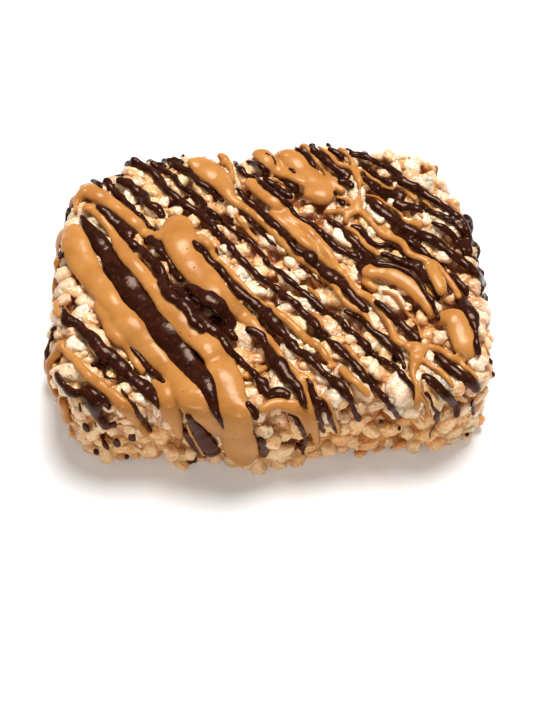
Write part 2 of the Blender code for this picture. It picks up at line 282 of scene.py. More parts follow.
# Peanut butter that lies under the chocolate: x, y, width at each way point on the pouring plane
PEANUT_UNDER = {
    "left band": (
        (-49.8, 17.5, 4.2), (-48.6, 11.5, 7.4), (-46, 5.5, 7.4), (-43, 0.2, 6.4), (-40, -4, 6),
        (-37, -8.5, 5.2), (-33.5, -13.5, 6.6), (-30, -18, 6.4), (-26.5, -22.5, 5.4),
        (-23, -26.8, 4.6), (-20.5, -30, 5), (-18, -33.2, 7), (-15.5, -37, 7.5), (-13, -40.5, 5.2),
        (-10.2, -44, 5),
    ),
    "left side lobe": (
        (-42, -6.8, 2.6), (-40, -9.8, 3), (-38.2, -13, 3.4), (-36.7, -16, 3.6), (-35, -18.3, 3.2),
        (-33.5, -19.8, 2.4), (-31.8, -22.6, 2.4), (-30, -25.6, 2.3), (-28.5, -28, 1.7),
    ),
    "long band": (
        (-47.6, 21.6, 2.6), (-46.2, 22.7, 3), (-44.5, 22, 3), (-41.7, 18.5, 2.6),
        (-38.6, 13.3, 2.7), (-36.8, 10, 3.8), (-35, 7, 4), (-33, 4.5, 4), (-30.8, 1.5, 4),
        (-28.7, -1.5, 4), (-26.5, -4.5, 4.6), (-24.2, -7.5, 6), (-21.7, -10.5, 7.2),
        (-19.2, -13.5, 7.5), (-16.8, -16.3, 7.5), (-14, -19.2, 7.5), (-11.8, -22.5, 7.5),
        (-10.7, -25.5, 7.5), (-9.5, -29.2, 8), (-8.7, -33, 8), (-8, -36.8, 8), (-7, -40, 8.6),
        (-7, -43, 8.4), (-6.2, -45.5, 9), (-5.7, -48, 8.6), (-5, -50.5, 6), (-4.4, -52, 3),
    ),
    "left hook": (
        (-49, 20.8, 1.2), (-49.2, 23.5, 1.6), (-48.6, 26.5, 4), (-47, 28.8, 4.8), (-44.5, 27.5, 5),
        (-42, 25.5, 4.5), (-39.5, 23.5, 4), (-37, 21.3, 3.8), (-34.7, 19, 3.8), (-32.5, 16.7, 3.8),
        (-30.7, 14.5, 3.5), (-28.5, 13.7, 3.5), (-24, 13, 3.5),
    ),
    "wide pour": (
        (-23.5, 20, 5.5), (-22.8, 17, 8), (-22.3, 13.5, 9), (-21, 9, 8.5), (-18.5, 4.3, 8),
        (-15.5, 0, 8), (-12.5, -4, 7), (-9.5, -7.2, 5.4), (-6.5, -10.2, 4.4), (-4, -13, 3.5),
        (-2, -15.5, 3), (0, -17.6, 2.4), (2, -20, 1.8), (4.2, -23.8, 1.6), (7.2, -28, 1.8),
        (9.2, -33, 1.4), (10.5, -38.5, 1.7), (10.8, -41.8, 2.4), (11.5, -47, 1.5),
    ),
    "wide pour lobe": (
        (-18, 13.5, 4), (-15.5, 11.5, 3), (-14, 9.5, 2.4), (-13.2, 7.6, 1.6),
    ),
    "beside the wide pour": (
        (-15.2, 11, 2), (-13, 6.8, 2), (-10, 3.2, 1.6), (-8.2, 1, 1.8), (-4.2, -4, 1.4),
        (-2, -6.8, 1.4), (0.5, -8.3, 1.6), (3, -10.5, 2.2), (6, -13.5, 2.4), (9.5, -17.8, 2.4),
        (12.8, -20.5, 2), (13.8, -22.5, 2), (15, -24.5, 1.3),
    ),
    "back drop": (
        (-21, 39.2, 3.4), (-19, 38, 5.6), (-17, 36.5, 7), (-14.3, 34.2, 7.4), (-12, 31.5, 6.4),
        (-10.3, 28.5, 4.6), (-9.2, 26, 3.2), (-6.5, 23.3, 2.4), (-2.7, 20, 2.6), (1.5, 15.5, 3),
        (4.8, 11, 2.9), (6.2, 8.8, 2.6), (7.6, 7, 2.6), (9.4, 5.8, 2.6), (11, 4, 2.2), (13, 1.8, 2),
        (15, -0.2, 1.8), (17, -2.8, 1.7), (18.2, -5.4, 1.7), (19.8, -7.8, 1.8), (21.5, -9, 1.8),
        (23.5, -10.5, 1.7), (24.6, -12, 1.3), (25.3, -14, 1.1), (26.5, -16, 0.8),
        (28.5, -16.8, 0.8),
    ),
    "back drop side": (
        (-13.5, 40.8, 3), (-11.6, 40.2, 3.2), (-10.2, 38.2, 2.4), (-9.3, 35.6, 1.6),
        (-8.8, 33, 1.4), (-8.4, 30.6, 1.2),
    ),
    "middle band": (
        (-6.2, 31, 2.8), (-4, 31, 3.8), (-2, 29, 4.6), (0, 27, 4.8), (2, 25, 4.6), (3.8, 22.8, 4.2),
        (5, 20.8, 3.6), (6.5, 18.5, 2.8), (8.3, 17.4, 2.2), (9.8, 16.3, 2.4), (11.3, 14.5, 2.6),
        (12.6, 12.4, 2.8), (13.8, 10.6, 2.8), (15.2, 8.6, 2.6), (16.4, 6.4, 2.2), (17.2, 4.2, 2),
        (18.4, 2.2, 1.8), (19.8, 0.4, 1.6), (20.8, -1.6, 1.7), (22, -3.9, 2.2), (23.8, -4.8, 2.3),
        (25.6, -6.4, 2.3), (27.2, -8.6, 2.4), (28.6, -11, 2.3), (29.6, -13.4, 2.1), (30.2, -16, 2),
        (31, -18.4, 2.2), (33, -19.6, 2.6),
    ),
    "middle ridge": (
        (0.5, 21.8, 2), (2.5, 19.6, 2.6), (4.5, 17.4, 2.8), (6.5, 15.2, 2.8), (8.3, 13, 3),
        (10, 11, 3), (11.8, 9.2, 2.6), (13, 7.4, 2.2), (14.2, 5.8, 2), (15.8, 4, 1.8),
        (17.3, 2, 1.4),
    ),
    "back pool": (
        (4, 42.6, 5), (6, 40.6, 5.8), (7.8, 38, 6), (9.4, 35.6, 6), (11.2, 33, 6.4),
        (12.8, 30.5, 7), (13.5, 28, 8), (13.8, 25.5, 9.2), (13.5, 23.5, 7.5),
    ),
    "back loop": (
        (-3.2, 42.4, 3.2), (-1.5, 41.2, 4.8), (0.4, 38.8, 5), (2.2, 36.6, 4.6), (3.8, 34.8, 3.8),
        (5.5, 33.8, 2.8), (7.5, 32.5, 2.4), (9.5, 31, 2.4), (10.4, 29.2, 1.6),
    ),
    "between the dark pair": (
        (0, 34.3, 0.9), (2, 32.5, 0.8), (4, 31, 0.9), (6, 29, 0.9), (8, 27.2, 0.8),
        (8.8, 26.5, 1.2),
    ),
    "back thread": (
        (8.8, 43.4, 1.2), (10, 44.3, 1.8), (11.2, 42.6, 1.6), (12.2, 40.6, 1.2), (13.4, 38.4, 1.1),
        (14.8, 36, 1.2), (16, 34.2, 1.8), (17, 32, 2.2), (18, 30, 2.4), (19.4, 28.6, 2.4),
        (20.4, 27.2, 1.8),
    ),
    "left thread": (
        (-7.8, 21.3, 1), (-7.4, 19.6, 1.4), (-6.2, 17.6, 1.5), (-5, 15.4, 1.5), (-3.8, 13.6, 1.4),
        (-2.6, 12.2, 1.2), (-2.4, 10.8, 0.8),
    ),
    "left edge loop": (
        (-47.6, -19.8, 3), (-49.6, -20.2, 3.8), (-51.2, -21.8, 4.2), (-51.6, -24, 4.2),
        (-51.3, -26.6, 3.8), (-50.6, -28.6, 2.4),
    ),
    "left corner strand": (
        (-48, -20.8, 1.8), (-46.6, -22.4, 2.1), (-45, -24.2, 2.3), (-43.2, -26.4, 2.4),
        (-41.4, -28.4, 2.6), (-39.4, -30, 2.8), (-37.4, -31.8, 2.8), (-35.4, -33.6, 3),
        (-33.6, -35.8, 3.4), (-32.2, -37.4, 3.4), (-30.6, -39.4, 2.6), (-29, -41.4, 2.2),
        (-27.4, -43.6, 2), (-26.6, -44.6, 1.4),
    ),
    "left corner drop": (
        (-47.1, -34.5, 2.8), (-46.9, -36.1, 4.2), (-46.4, -38, 4.8), (-46, -39.6, 4.4),
        (-45.8, -40.9, 3),
    ),
    "left wall drop": (
        (-51.4, -6.6, 1.4), (-51.2, -8.6, 2), (-50.6, -10.6, 1.8), (-49.9, -12, 1),
    ),
    "front left lobe": (
        (-27.2, -29.4, 1.6), (-25.6, -30.4, 3), (-24.2, -31.4, 4.2), (-23.4, -33.6, 5.2),
        (-22.6, -36, 5), (-21.6, -38.4, 4.6), (-20.8, -40.6, 3.6), (-20, -43, 2.6),
        (-19.6, -45, 1.8),
    ),
    "front foot": (
        (-19.4, -46.6, 1.6), (-19, -48.2, 2.2), (-19.2, -49.4, 1.8),
    ),
    "right crescent": (
        (23.8, 0.4, 3), (25.2, 1.9, 4.2), (27.4, 2.4, 4.8), (30, 1.9, 5), (32.6, 0.6, 5.2),
        (35, -1.2, 5.4), (37, -3.4, 5.4), (38.6, -6, 4.8), (39.6, -8.6, 3.6), (40.3, -10.8, 2.2),
        (40.4, -12, 1),
    ),
    "crescent inside": (
        (23.8, 0.4, 2), (24.8, -1.4, 2.4), (26.2, -2.6, 1.8), (27.6, -3.6, 1.2),
    ),
    "crescent thread": (
        (28, -3.5, 1), (30, -4.2, 1.2), (31.8, -5.4, 1.2), (32.6, -7.4, 1), (33.4, -9.4, 1),
        (34.6, -11, 1.2), (35.8, -12.6, 1), (36.6, -14.4, 1), (37, -16.4, 1), (37.4, -18.2, 1.6),
    ),
    "right drop": (
        (41.1, -13.3, 2.2), (42.9, -11.8, 4.2), (44.9, -11.9, 6), (46.2, -13.6, 6.8),
        (46.8, -16, 6.8), (47.2, -18.4, 6.4), (47.4, -20.8, 5.8), (47.2, -22.7, 4),
        (46.4, -24.1, 1.8),
    ),
    "front right threads": (
        (16.8, -25.6, 1.6), (18.2, -27, 2.3), (19.5, -28.7, 2.4), (21.2, -30.3, 2),
        (22.8, -32.3, 1.8), (23.8, -34.4, 1.8),
    ),
    "front right hook": (
        (14.2, -26.2, 1.4), (15.3, -25.3, 1.9), (16.8, -25.6, 2.1),
    ),
    "beside the long strand": (
        (18.3, -19.3, 1.3), (20.5, -22, 1.6), (22, -24.7, 1.4), (23.2, -27, 1.6), (24, -28.6, 1.7),
    ),
    "short bridge": (
        (-5.8, -28.8, 2.6), (-4.5, -28, 2.3), (-3, -27.3, 2), (-1, -26.3, 1.8), (0.8, -25.5, 1.3),
    ),
    "front arch": (
        (-1.8, -38.8, 1), (-1, -37.3, 2), (1.5, -35.8, 2.6), (4, -36, 3.2), (6.5, -36.6, 3.4),
        (8.5, -38.5, 3.2), (9.5, -41, 3.2), (10, -43.5, 2.4),
    ),
    "front fork": (
        (7.5, -27.3, 1.8), (9.2, -28.8, 1.6), (10.7, -31, 1.6), (11.8, -33.5, 1.4),
        (14, -34.6, 1.2), (15.2, -38, 1), (16.5, -43, 1.4), (16.8, -44.2, 1),
    ),
    "by the long strands": (
        (10.4, -9.8, 1), (11.8, -11, 1.4), (13, -13, 1.4), (13.8, -15, 0.9),
    ),
    "glaze spot": (
        (9.6, -2.2, 0.8), (11.2, -3.6, 1.2), (12.4, -5.2, 1.2), (13.4, -7, 0.8),
    ),
    "right edge glaze": (
        (46.5, 25, 1), (48, 23.4, 1.6), (49, 21.8, 1.2), (50.5, 19.6, 1), (51.3, 17.5, 0.8),
    ),
}

# The chocolate
CHOCOLATE = {
    "long strand": (
        (-36.3, 38.6, 2), (-35, 39.2, 2.4), (-32.5, 36.7, 2.4), (-30, 34.7, 2.3), (-28, 32.5, 2.2),
        (-27, 30, 2.4), (-22.5, 25.2, 2.3), (-17.5, 20.7, 2.3), (-13.7, 17, 2.1),
        (-12.7, 14.5, 2.2), (-9, 10.2, 2.3), (-6, 5.5, 2), (-4, 3.2, 2.2), (-2, 0.8, 1.8),
        (0, -0.8, 1.9), (2.2, -3, 2.4), (4, -5.2, 2.4), (6.2, -6.8, 2.1), (8.5, -9.5, 2.2),
        (11, -12.5, 2.4), (12.7, -15.2, 2.2), (14, -17.5, 1.7), (17.5, -20.9, 2.2),
        (21.5, -26, 2.2), (23, -28.5, 2.2), (24.7, -30.5, 1.7), (26.2, -32.7, 1.9),
        (28, -35.5, 1.7), (29.5, -37.7, 1.5), (30.2, -39.2, 1.2), (31, -40.3, 0.5),
    ),
    "second long strand": (
        (-30.9, 38.8, 1.4), (-29, 36.8, 1.7), (-27, 35.2, 1.8), (-25, 34.2, 1.7),
        (-21.7, 29.5, 1.7), (-18, 26.5, 1.7), (-15, 22.2, 1.6), (-10.7, 18, 1.8), (-9.2, 16, 1.5),
        (-5.2, 12.4, 1.5), (-4, 11.4, 1.2), (-2.8, 9.5, 1.7), (-1.2, 7.2, 1.6), (0.2, 4.5, 1.4),
        (2.2, 2.8, 1.3), (4.2, 1.5, 1.6), (6, -0.8, 1.7), (9.7, -5, 2), (14, -9.8, 1.8),
        (16.5, -11.3, 1.9), (18.2, -13.5, 1.9), (19, -14.8, 1.8), (23.2, -18.3, 1.8),
        (24.2, -21, 1.9), (25.7, -22.7, 1.6), (30, -25.2, 1.8), (31.2, -27, 1.8),
        (32.5, -29.2, 1.7), (34, -31.2, 1.4), (34.2, -34, 1), (34.2, -35.5, 0.5),
    ),
    "back left first": (
        (-39.5, 32.8, 2.6), (-38.5, 32, 2.8), (-36.5, 31.2, 2.6), (-34.5, 29, 2.8),
        (-32, 26.7, 2.7), (-30.5, 24.2, 2.4), (-28.2, 22.5, 2.9), (-26.7, 20, 2.2),
        (-26.5, 18.8, 1.2),
    ),
    "back left second": (
        (-43, 32.4, 1.8), (-42, 31.8, 2.2), (-39.5, 28, 2.1), (-37.5, 26, 1.9), (-33.7, 21.5, 1.5),
        (-30.2, 17.2, 1.1), (-28, 15, 1.1),
    ),
    "back left third": (
        (-46.5, 32, 1.2), (-44.5, 31.2, 1.6), (-42.5, 29, 1.2),
    ),
    "left pool": (
        (-44.5, 23.6, 1.5), (-41.7, 21.5, 2.6), (-40, 19.2, 3.4), (-37.5, 17.2, 4),
        (-35.5, 14.7, 4.4), (-33.7, 12.4, 4),
    ),
    "left valley": (
        (-35.8, 12.8, 1.8), (-33.7, 10.8, 2.4), (-31, 8.7, 2.2), (-27, 4, 2.3), (-25.5, 1.5, 2.2),
        (-24.5, -1.2, 2), (-23.3, -3.2, 2), (-21.8, -3.8, 2.4), (-20.2, -5.4, 2.6),
        (-17.2, -8.8, 2.4), (-16.2, -11.2, 2.8), (-14.5, -13.5, 2.6), (-12.5, -15.5, 2.9),
        (-10.5, -17.8, 2.6), (-9, -20.8, 2.4), (-7.2, -22.8, 2), (-4, -26.3, 1.8),
        (-1.8, -28.8, 2.2),
    ),
    "left valley side": (
        (-30.4, 13.4, 2.2), (-27.5, 10.2, 2.8), (-25.7, 7.5, 2.2), (-24.2, 4.7, 2),
        (-22.4, 1.5, 2.4), (-20.3, -0.8, 2.4),
    ),
    "left valley floor": (
        (-31.5, 8.2, 1.6), (-28.4, 5.2, 2), (-26.6, 1.6, 2.4), (-24.8, -3.4, 2.6),
        (-22.2, -6.4, 2.8), (-19.4, -8.6, 2.8), (-17.6, -12.6, 2.4), (-14.6, -16, 2.2),
    ),
    "middle cluster": (
        (-20.5, -2.3, 1.8), (-18.5, -2.6, 2.4), (-16.5, -4.3, 3), (-14.5, -5.8, 4.6),
        (-12.2, -7.6, 4.8), (-10.3, -9.9, 3.6), (-9, -12.2, 3.4), (-7.5, -14.8, 2.8),
    ),
    "cluster side": (
        (-12.4, -11.4, 2.2), (-10.6, -14, 2.6), (-8.6, -16.4, 2.6), (-6.4, -18.2, 2),
    ),
    "cluster link": (
        (-15, -12.2, 1.2), (-13.5, -11.6, 1.2), (-12, -11, 1),
    ),
    "below the cluster": (
        (-5.5, -14.7, 2.2), (-4, -15, 2.4), (-2.6, -16, 2.4), (-1.2, -17.5, 2.3), (0, -20, 2.2),
        (1, -22.7, 2.8), (2, -24.2, 4.2), (3.5, -25.7, 4), (5, -28.5, 3), (7, -30.7, 2.6),
        (8, -33, 2), (8.7, -35.5, 1.6), (9.7, -37.8, 1.1),
    ),
    "low blob": (
        (-3, -29.6, 1.6), (-1, -30, 3), (-0.3, -32, 2.6), (0.8, -33.2, 2.4), (2.8, -32.4, 3.2),
        (4.6, -33.2, 2.6), (5.6, -34.4, 1.6),
    ),
    "low blob drip": (
        (-2.4, -30.8, 0.7), (-1.5, -33.5, 0.9),
    ),
    "beside the wide pour": (
        (-19, 12.2, 0.8), (-18, 11.2, 1.4), (-16.8, 9.8, 2.2), (-15, 7, 2.2), (-13.2, 4.8, 2),
        (-11.5, 2.8, 2.4), (-9.8, 0.3, 1.9), (-8.3, -1.8, 2.2), (-6.5, -4, 2.7), (-4.5, -6, 2.6),
        (-2.5, -8, 2.7), (-0.5, -10, 3.5), (1.5, -12.5, 3.7), (3.2, -15.2, 2.8), (4.7, -17.5, 2.2),
        (6.1, -19.4, 3), (7.2, -21.2, 2), (9.2, -22.2, 2.4), (10.7, -24, 2.4), (14, -28, 1.5),
        (15.5, -29.3, 2.9), (17.3, -31.3, 2.8), (18.7, -33.7, 2.3), (19.5, -35, 1.5),
        (20.2, -37, 1.4), (20.7, -39.2, 1.7), (21.5, -40.6, 1.7),
    ),
    "middle strand": (
        (-8.3, 29.8, 0.9), (-6.8, 27.8, 1.5), (-5.5, 25.5, 1.3), (-4, 24, 2.3), (-2, 21.8, 2.1),
        (0.2, 19.2, 2.4), (2.2, 17, 2.3), (4.2, 14.8, 1.9), (6.3, 11, 1.5), (7.7, 8.7, 1.5),
        (9.2, 7.8, 1.8), (10.8, 7.2, 3.5), (12, 5, 2.8), (13.5, 3.2, 3), (15.5, 1.5, 3.7),
        (17.3, -0.4, 3.6), (19, -2.3, 2.8), (20.5, -4.5, 2.4), (22, -6.8, 2.4), (23.8, -9, 2),
        (25.2, -10.2, 1),
    ),
    "right middle": (
        (18.3, -9.3, 0.8), (20.5, -10.6, 1.4), (22.5, -12, 1.6), (25.8, -15.8, 2),
        (27.8, -17.8, 2.3), (29.7, -20.2, 2.6), (31.2, -22, 2.2), (32, -24, 1.6),
        (32.5, -26.8, 0.8),
    ),
    "under the web": (
        (26, -6.3, 1), (28, -8.5, 1.5), (29.8, -10.8, 1.9), (31.8, -12.5, 2.4), (34.7, -16.5, 2.3),
        (36, -18.3, 2.6), (35.7, -19.5, 2.4),
    ),
    "long right strand": (
        (-8.2, 37.4, 1.4), (-6.6, 35.6, 1.8), (-5, 33.6, 1.5), (-3, 33.7, 1.3), (-2, 32, 1.5),
        (-0.3, 30, 1.6), (3.5, 26.2, 1.6), (5.5, 24, 1.8), (6.7, 21.8, 1.8), (8, 19.5, 1.8),
        (10, 18.2, 2), (12, 16.8, 2), (15, 13, 2.2), (16.5, 11, 2.2), (18.5, 9.2, 1.9),
        (22, 7, 2.2), (24.2, 5.8, 2.4), (26.5, 5, 2.2), (28.5, 4.3, 1.8), (31, 4, 1.4),
        (33, 3, 1.4), (35.5, 1.5, 1.3), (38.2, -2.2, 1.4), (40.5, -7, 1.5), (41.4, -11, 1.1),
        (41, -13, 0.9),
    ),
    "dark pair left": (
        (-1.3, 33.4, 1.6), (1, 31, 2.1), (3, 29, 2.2), (5, 27.4, 2.2), (7.3, 25.9, 1.4),
    ),
    "dark pair right": (
        (4.2, 32, 1.4), (6, 30.5, 2.1), (7.5, 28.8, 2.2), (8.5, 27.3, 1.8),
    ),
    "back strand": (
        (-5.8, 38.6, 0.9), (-3.5, 38.5, 1.3), (-1.8, 37.5, 1.6), (-0.5, 36, 1.7), (1, 34.2, 1.5),
    ),
    "back line": (
        (-0.6, 42, 0.7), (0.7, 41, 0.7), (2, 39.5, 0.8), (3, 37.2, 0.7),
    ),
    "back spot": (
        (5.2, 36.3, 0.8), (6.7, 35.7, 1.1), (7.8, 34.2, 0.8),
    ),
    "back thread": (
        (7.3, 43.2, 1), (9.2, 42.3, 1.8), (10.5, 40.2, 1.7), (12, 38, 1.6), (13.6, 35.8, 1.2),
    ),
    "back wide": (
        (12, 44.2, 1.6), (13.2, 42, 2.4), (14.8, 40.5, 3), (16.5, 38.5, 3.2), (18.2, 36.7, 3.2),
        (20.3, 34.5, 3.2), (22, 32.6, 2.6),
    ),
    "back wide foot": (
        (18.3, 31.7, 1.6), (20.2, 31.5, 2), (21.8, 30.7, 2.1), (22.5, 28.8, 1.6),
    ),
    "back short": (
        (16, 43.4, 1.2), (18.2, 42.2, 1.8), (19.5, 40.5, 1.8), (20.8, 38.8, 1.8),
    ),
    "pool foot": (
        (17.2, 28.6, 1), (18.4, 26.6, 1.6), (19.4, 24.6, 2), (20, 23, 1.8),
    ),
    "right rim": (
        (20.7, 43.6, 0.9), (22, 42.5, 1.1), (22.8, 41.1, 1.8), (24.5, 41, 2), (28.5, 38.8, 2.1),
        (32.7, 36, 2.2), (34.2, 34, 2.2), (35.2, 32, 2.5), (37, 31, 2.5), (41.2, 27.5, 2.3),
        (45.2, 23.6, 2.2), (49, 20, 2.2), (50.5, 17.7, 2.2), (51, 15.2, 2.2), (51.4, 12.7, 1.8),
        (51.3, 9.5, 1.4), (51.1, 7.5, 0.7),
    ),
    "right inner": (
        (24, 37.8, 1.4), (25.5, 36.5, 1.8), (27.7, 34.7, 1.8), (29.7, 33, 1.7), (31.7, 31.2, 1.5),
        (33.3, 29.7, 1.1),
    ),
    "right pool": (
        (25.2, 33, 2.4), (27, 31, 2.8), (28.5, 29, 2.6), (30.5, 28, 2.6), (32.5, 27.8, 3),
        (34.5, 26.8, 3.2), (36, 25.2, 2.4),
    ),
    "right pool foot": (
        (33, 25.5, 3.6), (34.5, 23.5, 2.6), (37, 22.8, 2.4), (39, 22.3, 2), (40.5, 21, 2),
    ),
    "right braid": (
        (39.2, 23.9, 1.4), (41, 22.7, 1.8), (42.5, 21, 1.8), (44.5, 20.2, 2), (46.5, 19, 1.8),
        (48.5, 17.2, 2), (49.7, 15, 1.9), (50.5, 12.5, 1.8), (50.8, 9, 1.2),
    ),
    "right braid inner": (
        (41.7, 18, 1.4), (44, 16.9, 1.8), (45.8, 15.3, 2.2), (47.4, 13.6, 2.2), (48.3, 11.4, 2.2),
        (49.3, 9.2, 2), (50.3, 7.4, 1.2),
    ),
    "right wide": (
        (25.2, 25.4, 1.6), (26.7, 24.8, 2.2), (28.5, 22.8, 3), (32.5, 18.8, 2.8), (37, 15, 2.6),
        (39.5, 13.8, 3), (41.3, 12.6, 3.6), (43, 11.2, 3), (45, 9.5, 2.2), (46.8, 7.2, 2.5),
        (48.8, 5.5, 2.9), (50.7, 3.5, 2.6), (52.2, 1.5, 2.2), (53.5, -0.8, 1.7), (54, -3, 1),
    ),
    "right curl": (
        (21.5, 17.6, 1.2), (22.3, 16.5, 2), (24, 15.2, 2.2), (25.3, 13, 1.9), (26.7, 11.2, 1.8),
        (28.5, 10.5, 1.8), (31, 10.5, 1.9), (33, 9.8, 2.2), (34.5, 8, 2.1), (35.8, 6.2, 1.8),
        (37.5, 4.8, 1.8), (39, 3.5, 1.2),
    ),
    "right curl under": (
        (28, 8.2, 1.4), (30, 7.5, 1.9), (32, 6.2, 1.9), (34.5, 4.8, 2), (36.8, 3.5, 2.4),
        (38.8, 1.5, 2.5), (40.5, -0.5, 2.4), (41.8, -3, 2), (42.3, -5.3, 1.8), (42, -7.3, 1.3),
    ),
    "right small": (
        (15, 18.8, 1.2), (17, 18, 1.7), (18.2, 17.1, 1.8), (19.5, 15.2, 1.9), (21, 13, 2.1),
        (22.5, 11, 2.1), (24, 9.2, 1.9), (25.8, 7.8, 1.6), (27.8, 6.2, 1.1),
    ),
    "right finger": (
        (32.5, 14, 1), (34, 13.2, 1.8), (36, 12, 2.1), (38, 10, 2), (39.5, 8, 1.9), (41, 6.5, 1.4),
        (43, 5.2, 0.8), (44, 3, 1), (45.5, 1, 1.5), (47, -0.5, 2.1), (48.2, -2, 2.2), (48.8, -4, 2),
        (48.3, -5.6, 1.4),
    ),
    "right finger line": (
        (44.2, -1, 0.9), (45, -3, 1), (45.8, -5.2, 0.8),
    ),
    "right side": (
        (45.5, -6.8, 1), (47, -6.6, 2.4), (48, -7.2, 3.2), (48.8, -9.3, 4), (49.8, -11.5, 3.6),
        (50.2, -14, 2.6), (50, -15.8, 1.3), (50.2, -18, 1.6), (50.3, -20, 1.9), (50.2, -22, 1.8),
        (50, -23, 0.9),
    ),
    "front right first": (
        (39.5, -22.2, 2.3), (41.5, -24, 2.6), (44, -26.5, 2.8), (46.5, -29, 3), (48.5, -31, 2.8),
        (49, -33, 1.3),
    ),
    "front right second": (
        (36.2, -27.7, 2.2), (38.2, -29.2, 2.6), (40.2, -31.7, 2.4), (42.2, -34.2, 2.4),
        (43.5, -36.5, 1.9), (43.9, -39.6, 1.9),
    ),
    "front right thin": (
        (36.3, -32.4, 0.8), (38, -34.5, 1), (38.4, -37, 0.9), (39.2, -39, 1.6), (38.5, -41.2, 0.9),
        (37.5, -43.7, 0.7), (36.9, -45.6, 0.5),
    ),
    "front right hair": (
        (36.3, -35.5, 0.5), (37.7, -39.7, 0.5),
    ),
    "front right end": (
        (48.2, -34.2, 0.9), (47, -36, 0.9), (47.8, -37.5, 1.2), (47.5, -39, 1.1),
    ),
    "front drip left": (
        (8.7, -28.5, 0.9), (10, -30.5, 1.4), (10.7, -33, 1.6), (11.5, -35.5, 1.8), (12, -38, 1.4),
        (12.5, -40.5, 1.3), (13.2, -43.8, 1.2),
    ),
    "front drip right": (
        (11.6, -34, 1.2), (13.2, -35.3, 1.6), (14.2, -38, 1.4), (14.7, -40.5, 1.2),
        (15.8, -44, 0.8),
    ),
    "left side strand": (
        (-49.6, -7.5, 0.8), (-49, -10, 1.8), (-47.8, -12.5, 3.2), (-45.8, -13.4, 2.8),
        (-43.7, -15.7, 3.2), (-41.5, -17.7, 3.6), (-39, -21.4, 3.6), (-36.5, -23.3, 4),
        (-34.5, -25.3, 4), (-32.5, -27.3, 3.5), (-30.5, -29.5, 3), (-28.3, -31.3, 3.9),
        (-26.5, -33.5, 2.8), (-25.2, -35.8, 1.5), (-24.4, -37.8, 0.5),
    ),
    "left side thin": (
        (-41.5, -25.6, 1.9), (-39.8, -24.9, 1.5), (-38.7, -26, 1.3), (-37.5, -28.2, 1.1),
        (-35.2, -29.5, 0.7), (-34, -31, 0.6), (-33, -33, 0.8), (-31.5, -35, 1), (-30, -37, 1.2),
        (-29, -39, 1.2), (-27.2, -41.3, 1.2), (-26, -43.8, 1.1),
    ),
    "left corner": (
        (-49.7, -26.6, 1.2), (-48.5, -29, 2.6), (-47.2, -31, 2.8), (-45.5, -32.7, 2.8),
        (-43.7, -33, 2.2), (-42, -32.5, 3.4), (-40.2, -34.5, 3.6), (-39.5, -37, 3.4),
        (-38.5, -39.3, 2.8), (-37, -41.3, 2.3), (-36.2, -42.8, 2.6),
    ),
    "left corner side": (
        (-40, -33, 1.4), (-38, -34.5, 2), (-36.7, -36.3, 1.8), (-36, -37.8, 0.9),
    ),
    "left corner hair": (
        (-35.7, -37.5, 0.4), (-34.5, -38.8, 0.4), (-33.2, -39.6, 0.4),
    ),
    "left corner drips": (
        (-43.2, -35, 0.9), (-43, -36.8, 1), (-42.5, -38.4, 0.6),
    ),
    "left corner drip": (
        (-39.5, -40, 0.8), (-38.5, -42.6, 0.8),
    ),
    "back left rim": (
        (-27, 39.3, 1.4), (-25.2, 38.8, 2), (-23.7, 37, 2.5), (-22, 35.8, 2.1), (-20, 34.7, 1.8),
        (-18.7, 32.7, 1.8), (-17, 30.7, 1.9), (-15.2, 29.5, 2.2), (-13.7, 27.8, 2.1),
        (-12.2, 26, 1.5), (-10.7, 24.2, 0.7),
    ),
    "back left rim second": (
        (-25, 40.4, 1), (-23.5, 39.2, 1.4), (-21.5, 37.8, 1.2),
    ),
    "front patch": (
        (-18.8, -38.2, 0.8), (-16.5, -41.5, 3), (-14.5, -45, 5.5), (-12.8, -48, 5.2),
        (-12.5, -49.6, 3),
    ),
    "front patch strip": (
        (-19, -42.5, 1.6), (-17.5, -45, 1.8), (-15.5, -48, 1.4), (-13.5, -50, 1.1),
    ),
    "front wedge": (
        (-4.5, -34.6, 0.8), (-3.5, -37, 2.2), (-2.7, -38.8, 2.2), (-3.3, -40.6, 0.9),
    ),
    "front low": (
        (-1.5, -44.2, 1), (-1, -46.2, 2), (-0.5, -48.2, 2.6), (-1, -49.8, 1.8),
    ),
    "front hollow rim": (
        (4.2, -38.4, 0.4), (6.2, -39.5, 0.8), (7.2, -41, 1.5), (8.2, -43, 1.3), (8.8, -44.6, 1.4),
        (8.5, -46.8, 1.4), (8, -49.5, 0.9),
    ),
    "front hollow branch": (
        (6.2, -45.8, 0.9), (7.2, -46.5, 1.1), (7.8, -48.2, 1.1),
    ),
    "left thread": (
        (-7.5, 22, 0.9), (-5.7, 20.5, 1.4), (-3.5, 17.8, 1.4), (-1.5, 14.8, 1.2), (1.5, 11.3, 1),
        (3, 9.5, 0.7),
    ),
    "middle thread": (
        (7.5, 4.5, 0.8), (9.2, 2.8, 1), (11.5, 0.8, 0.8), (14.2, -2, 0.6), (16.8, -4.8, 0.5),
    ),
    "thread knot": (
        (4.9, 3.4, 1.2), (6.2, 2, 1.4),
    ),
}

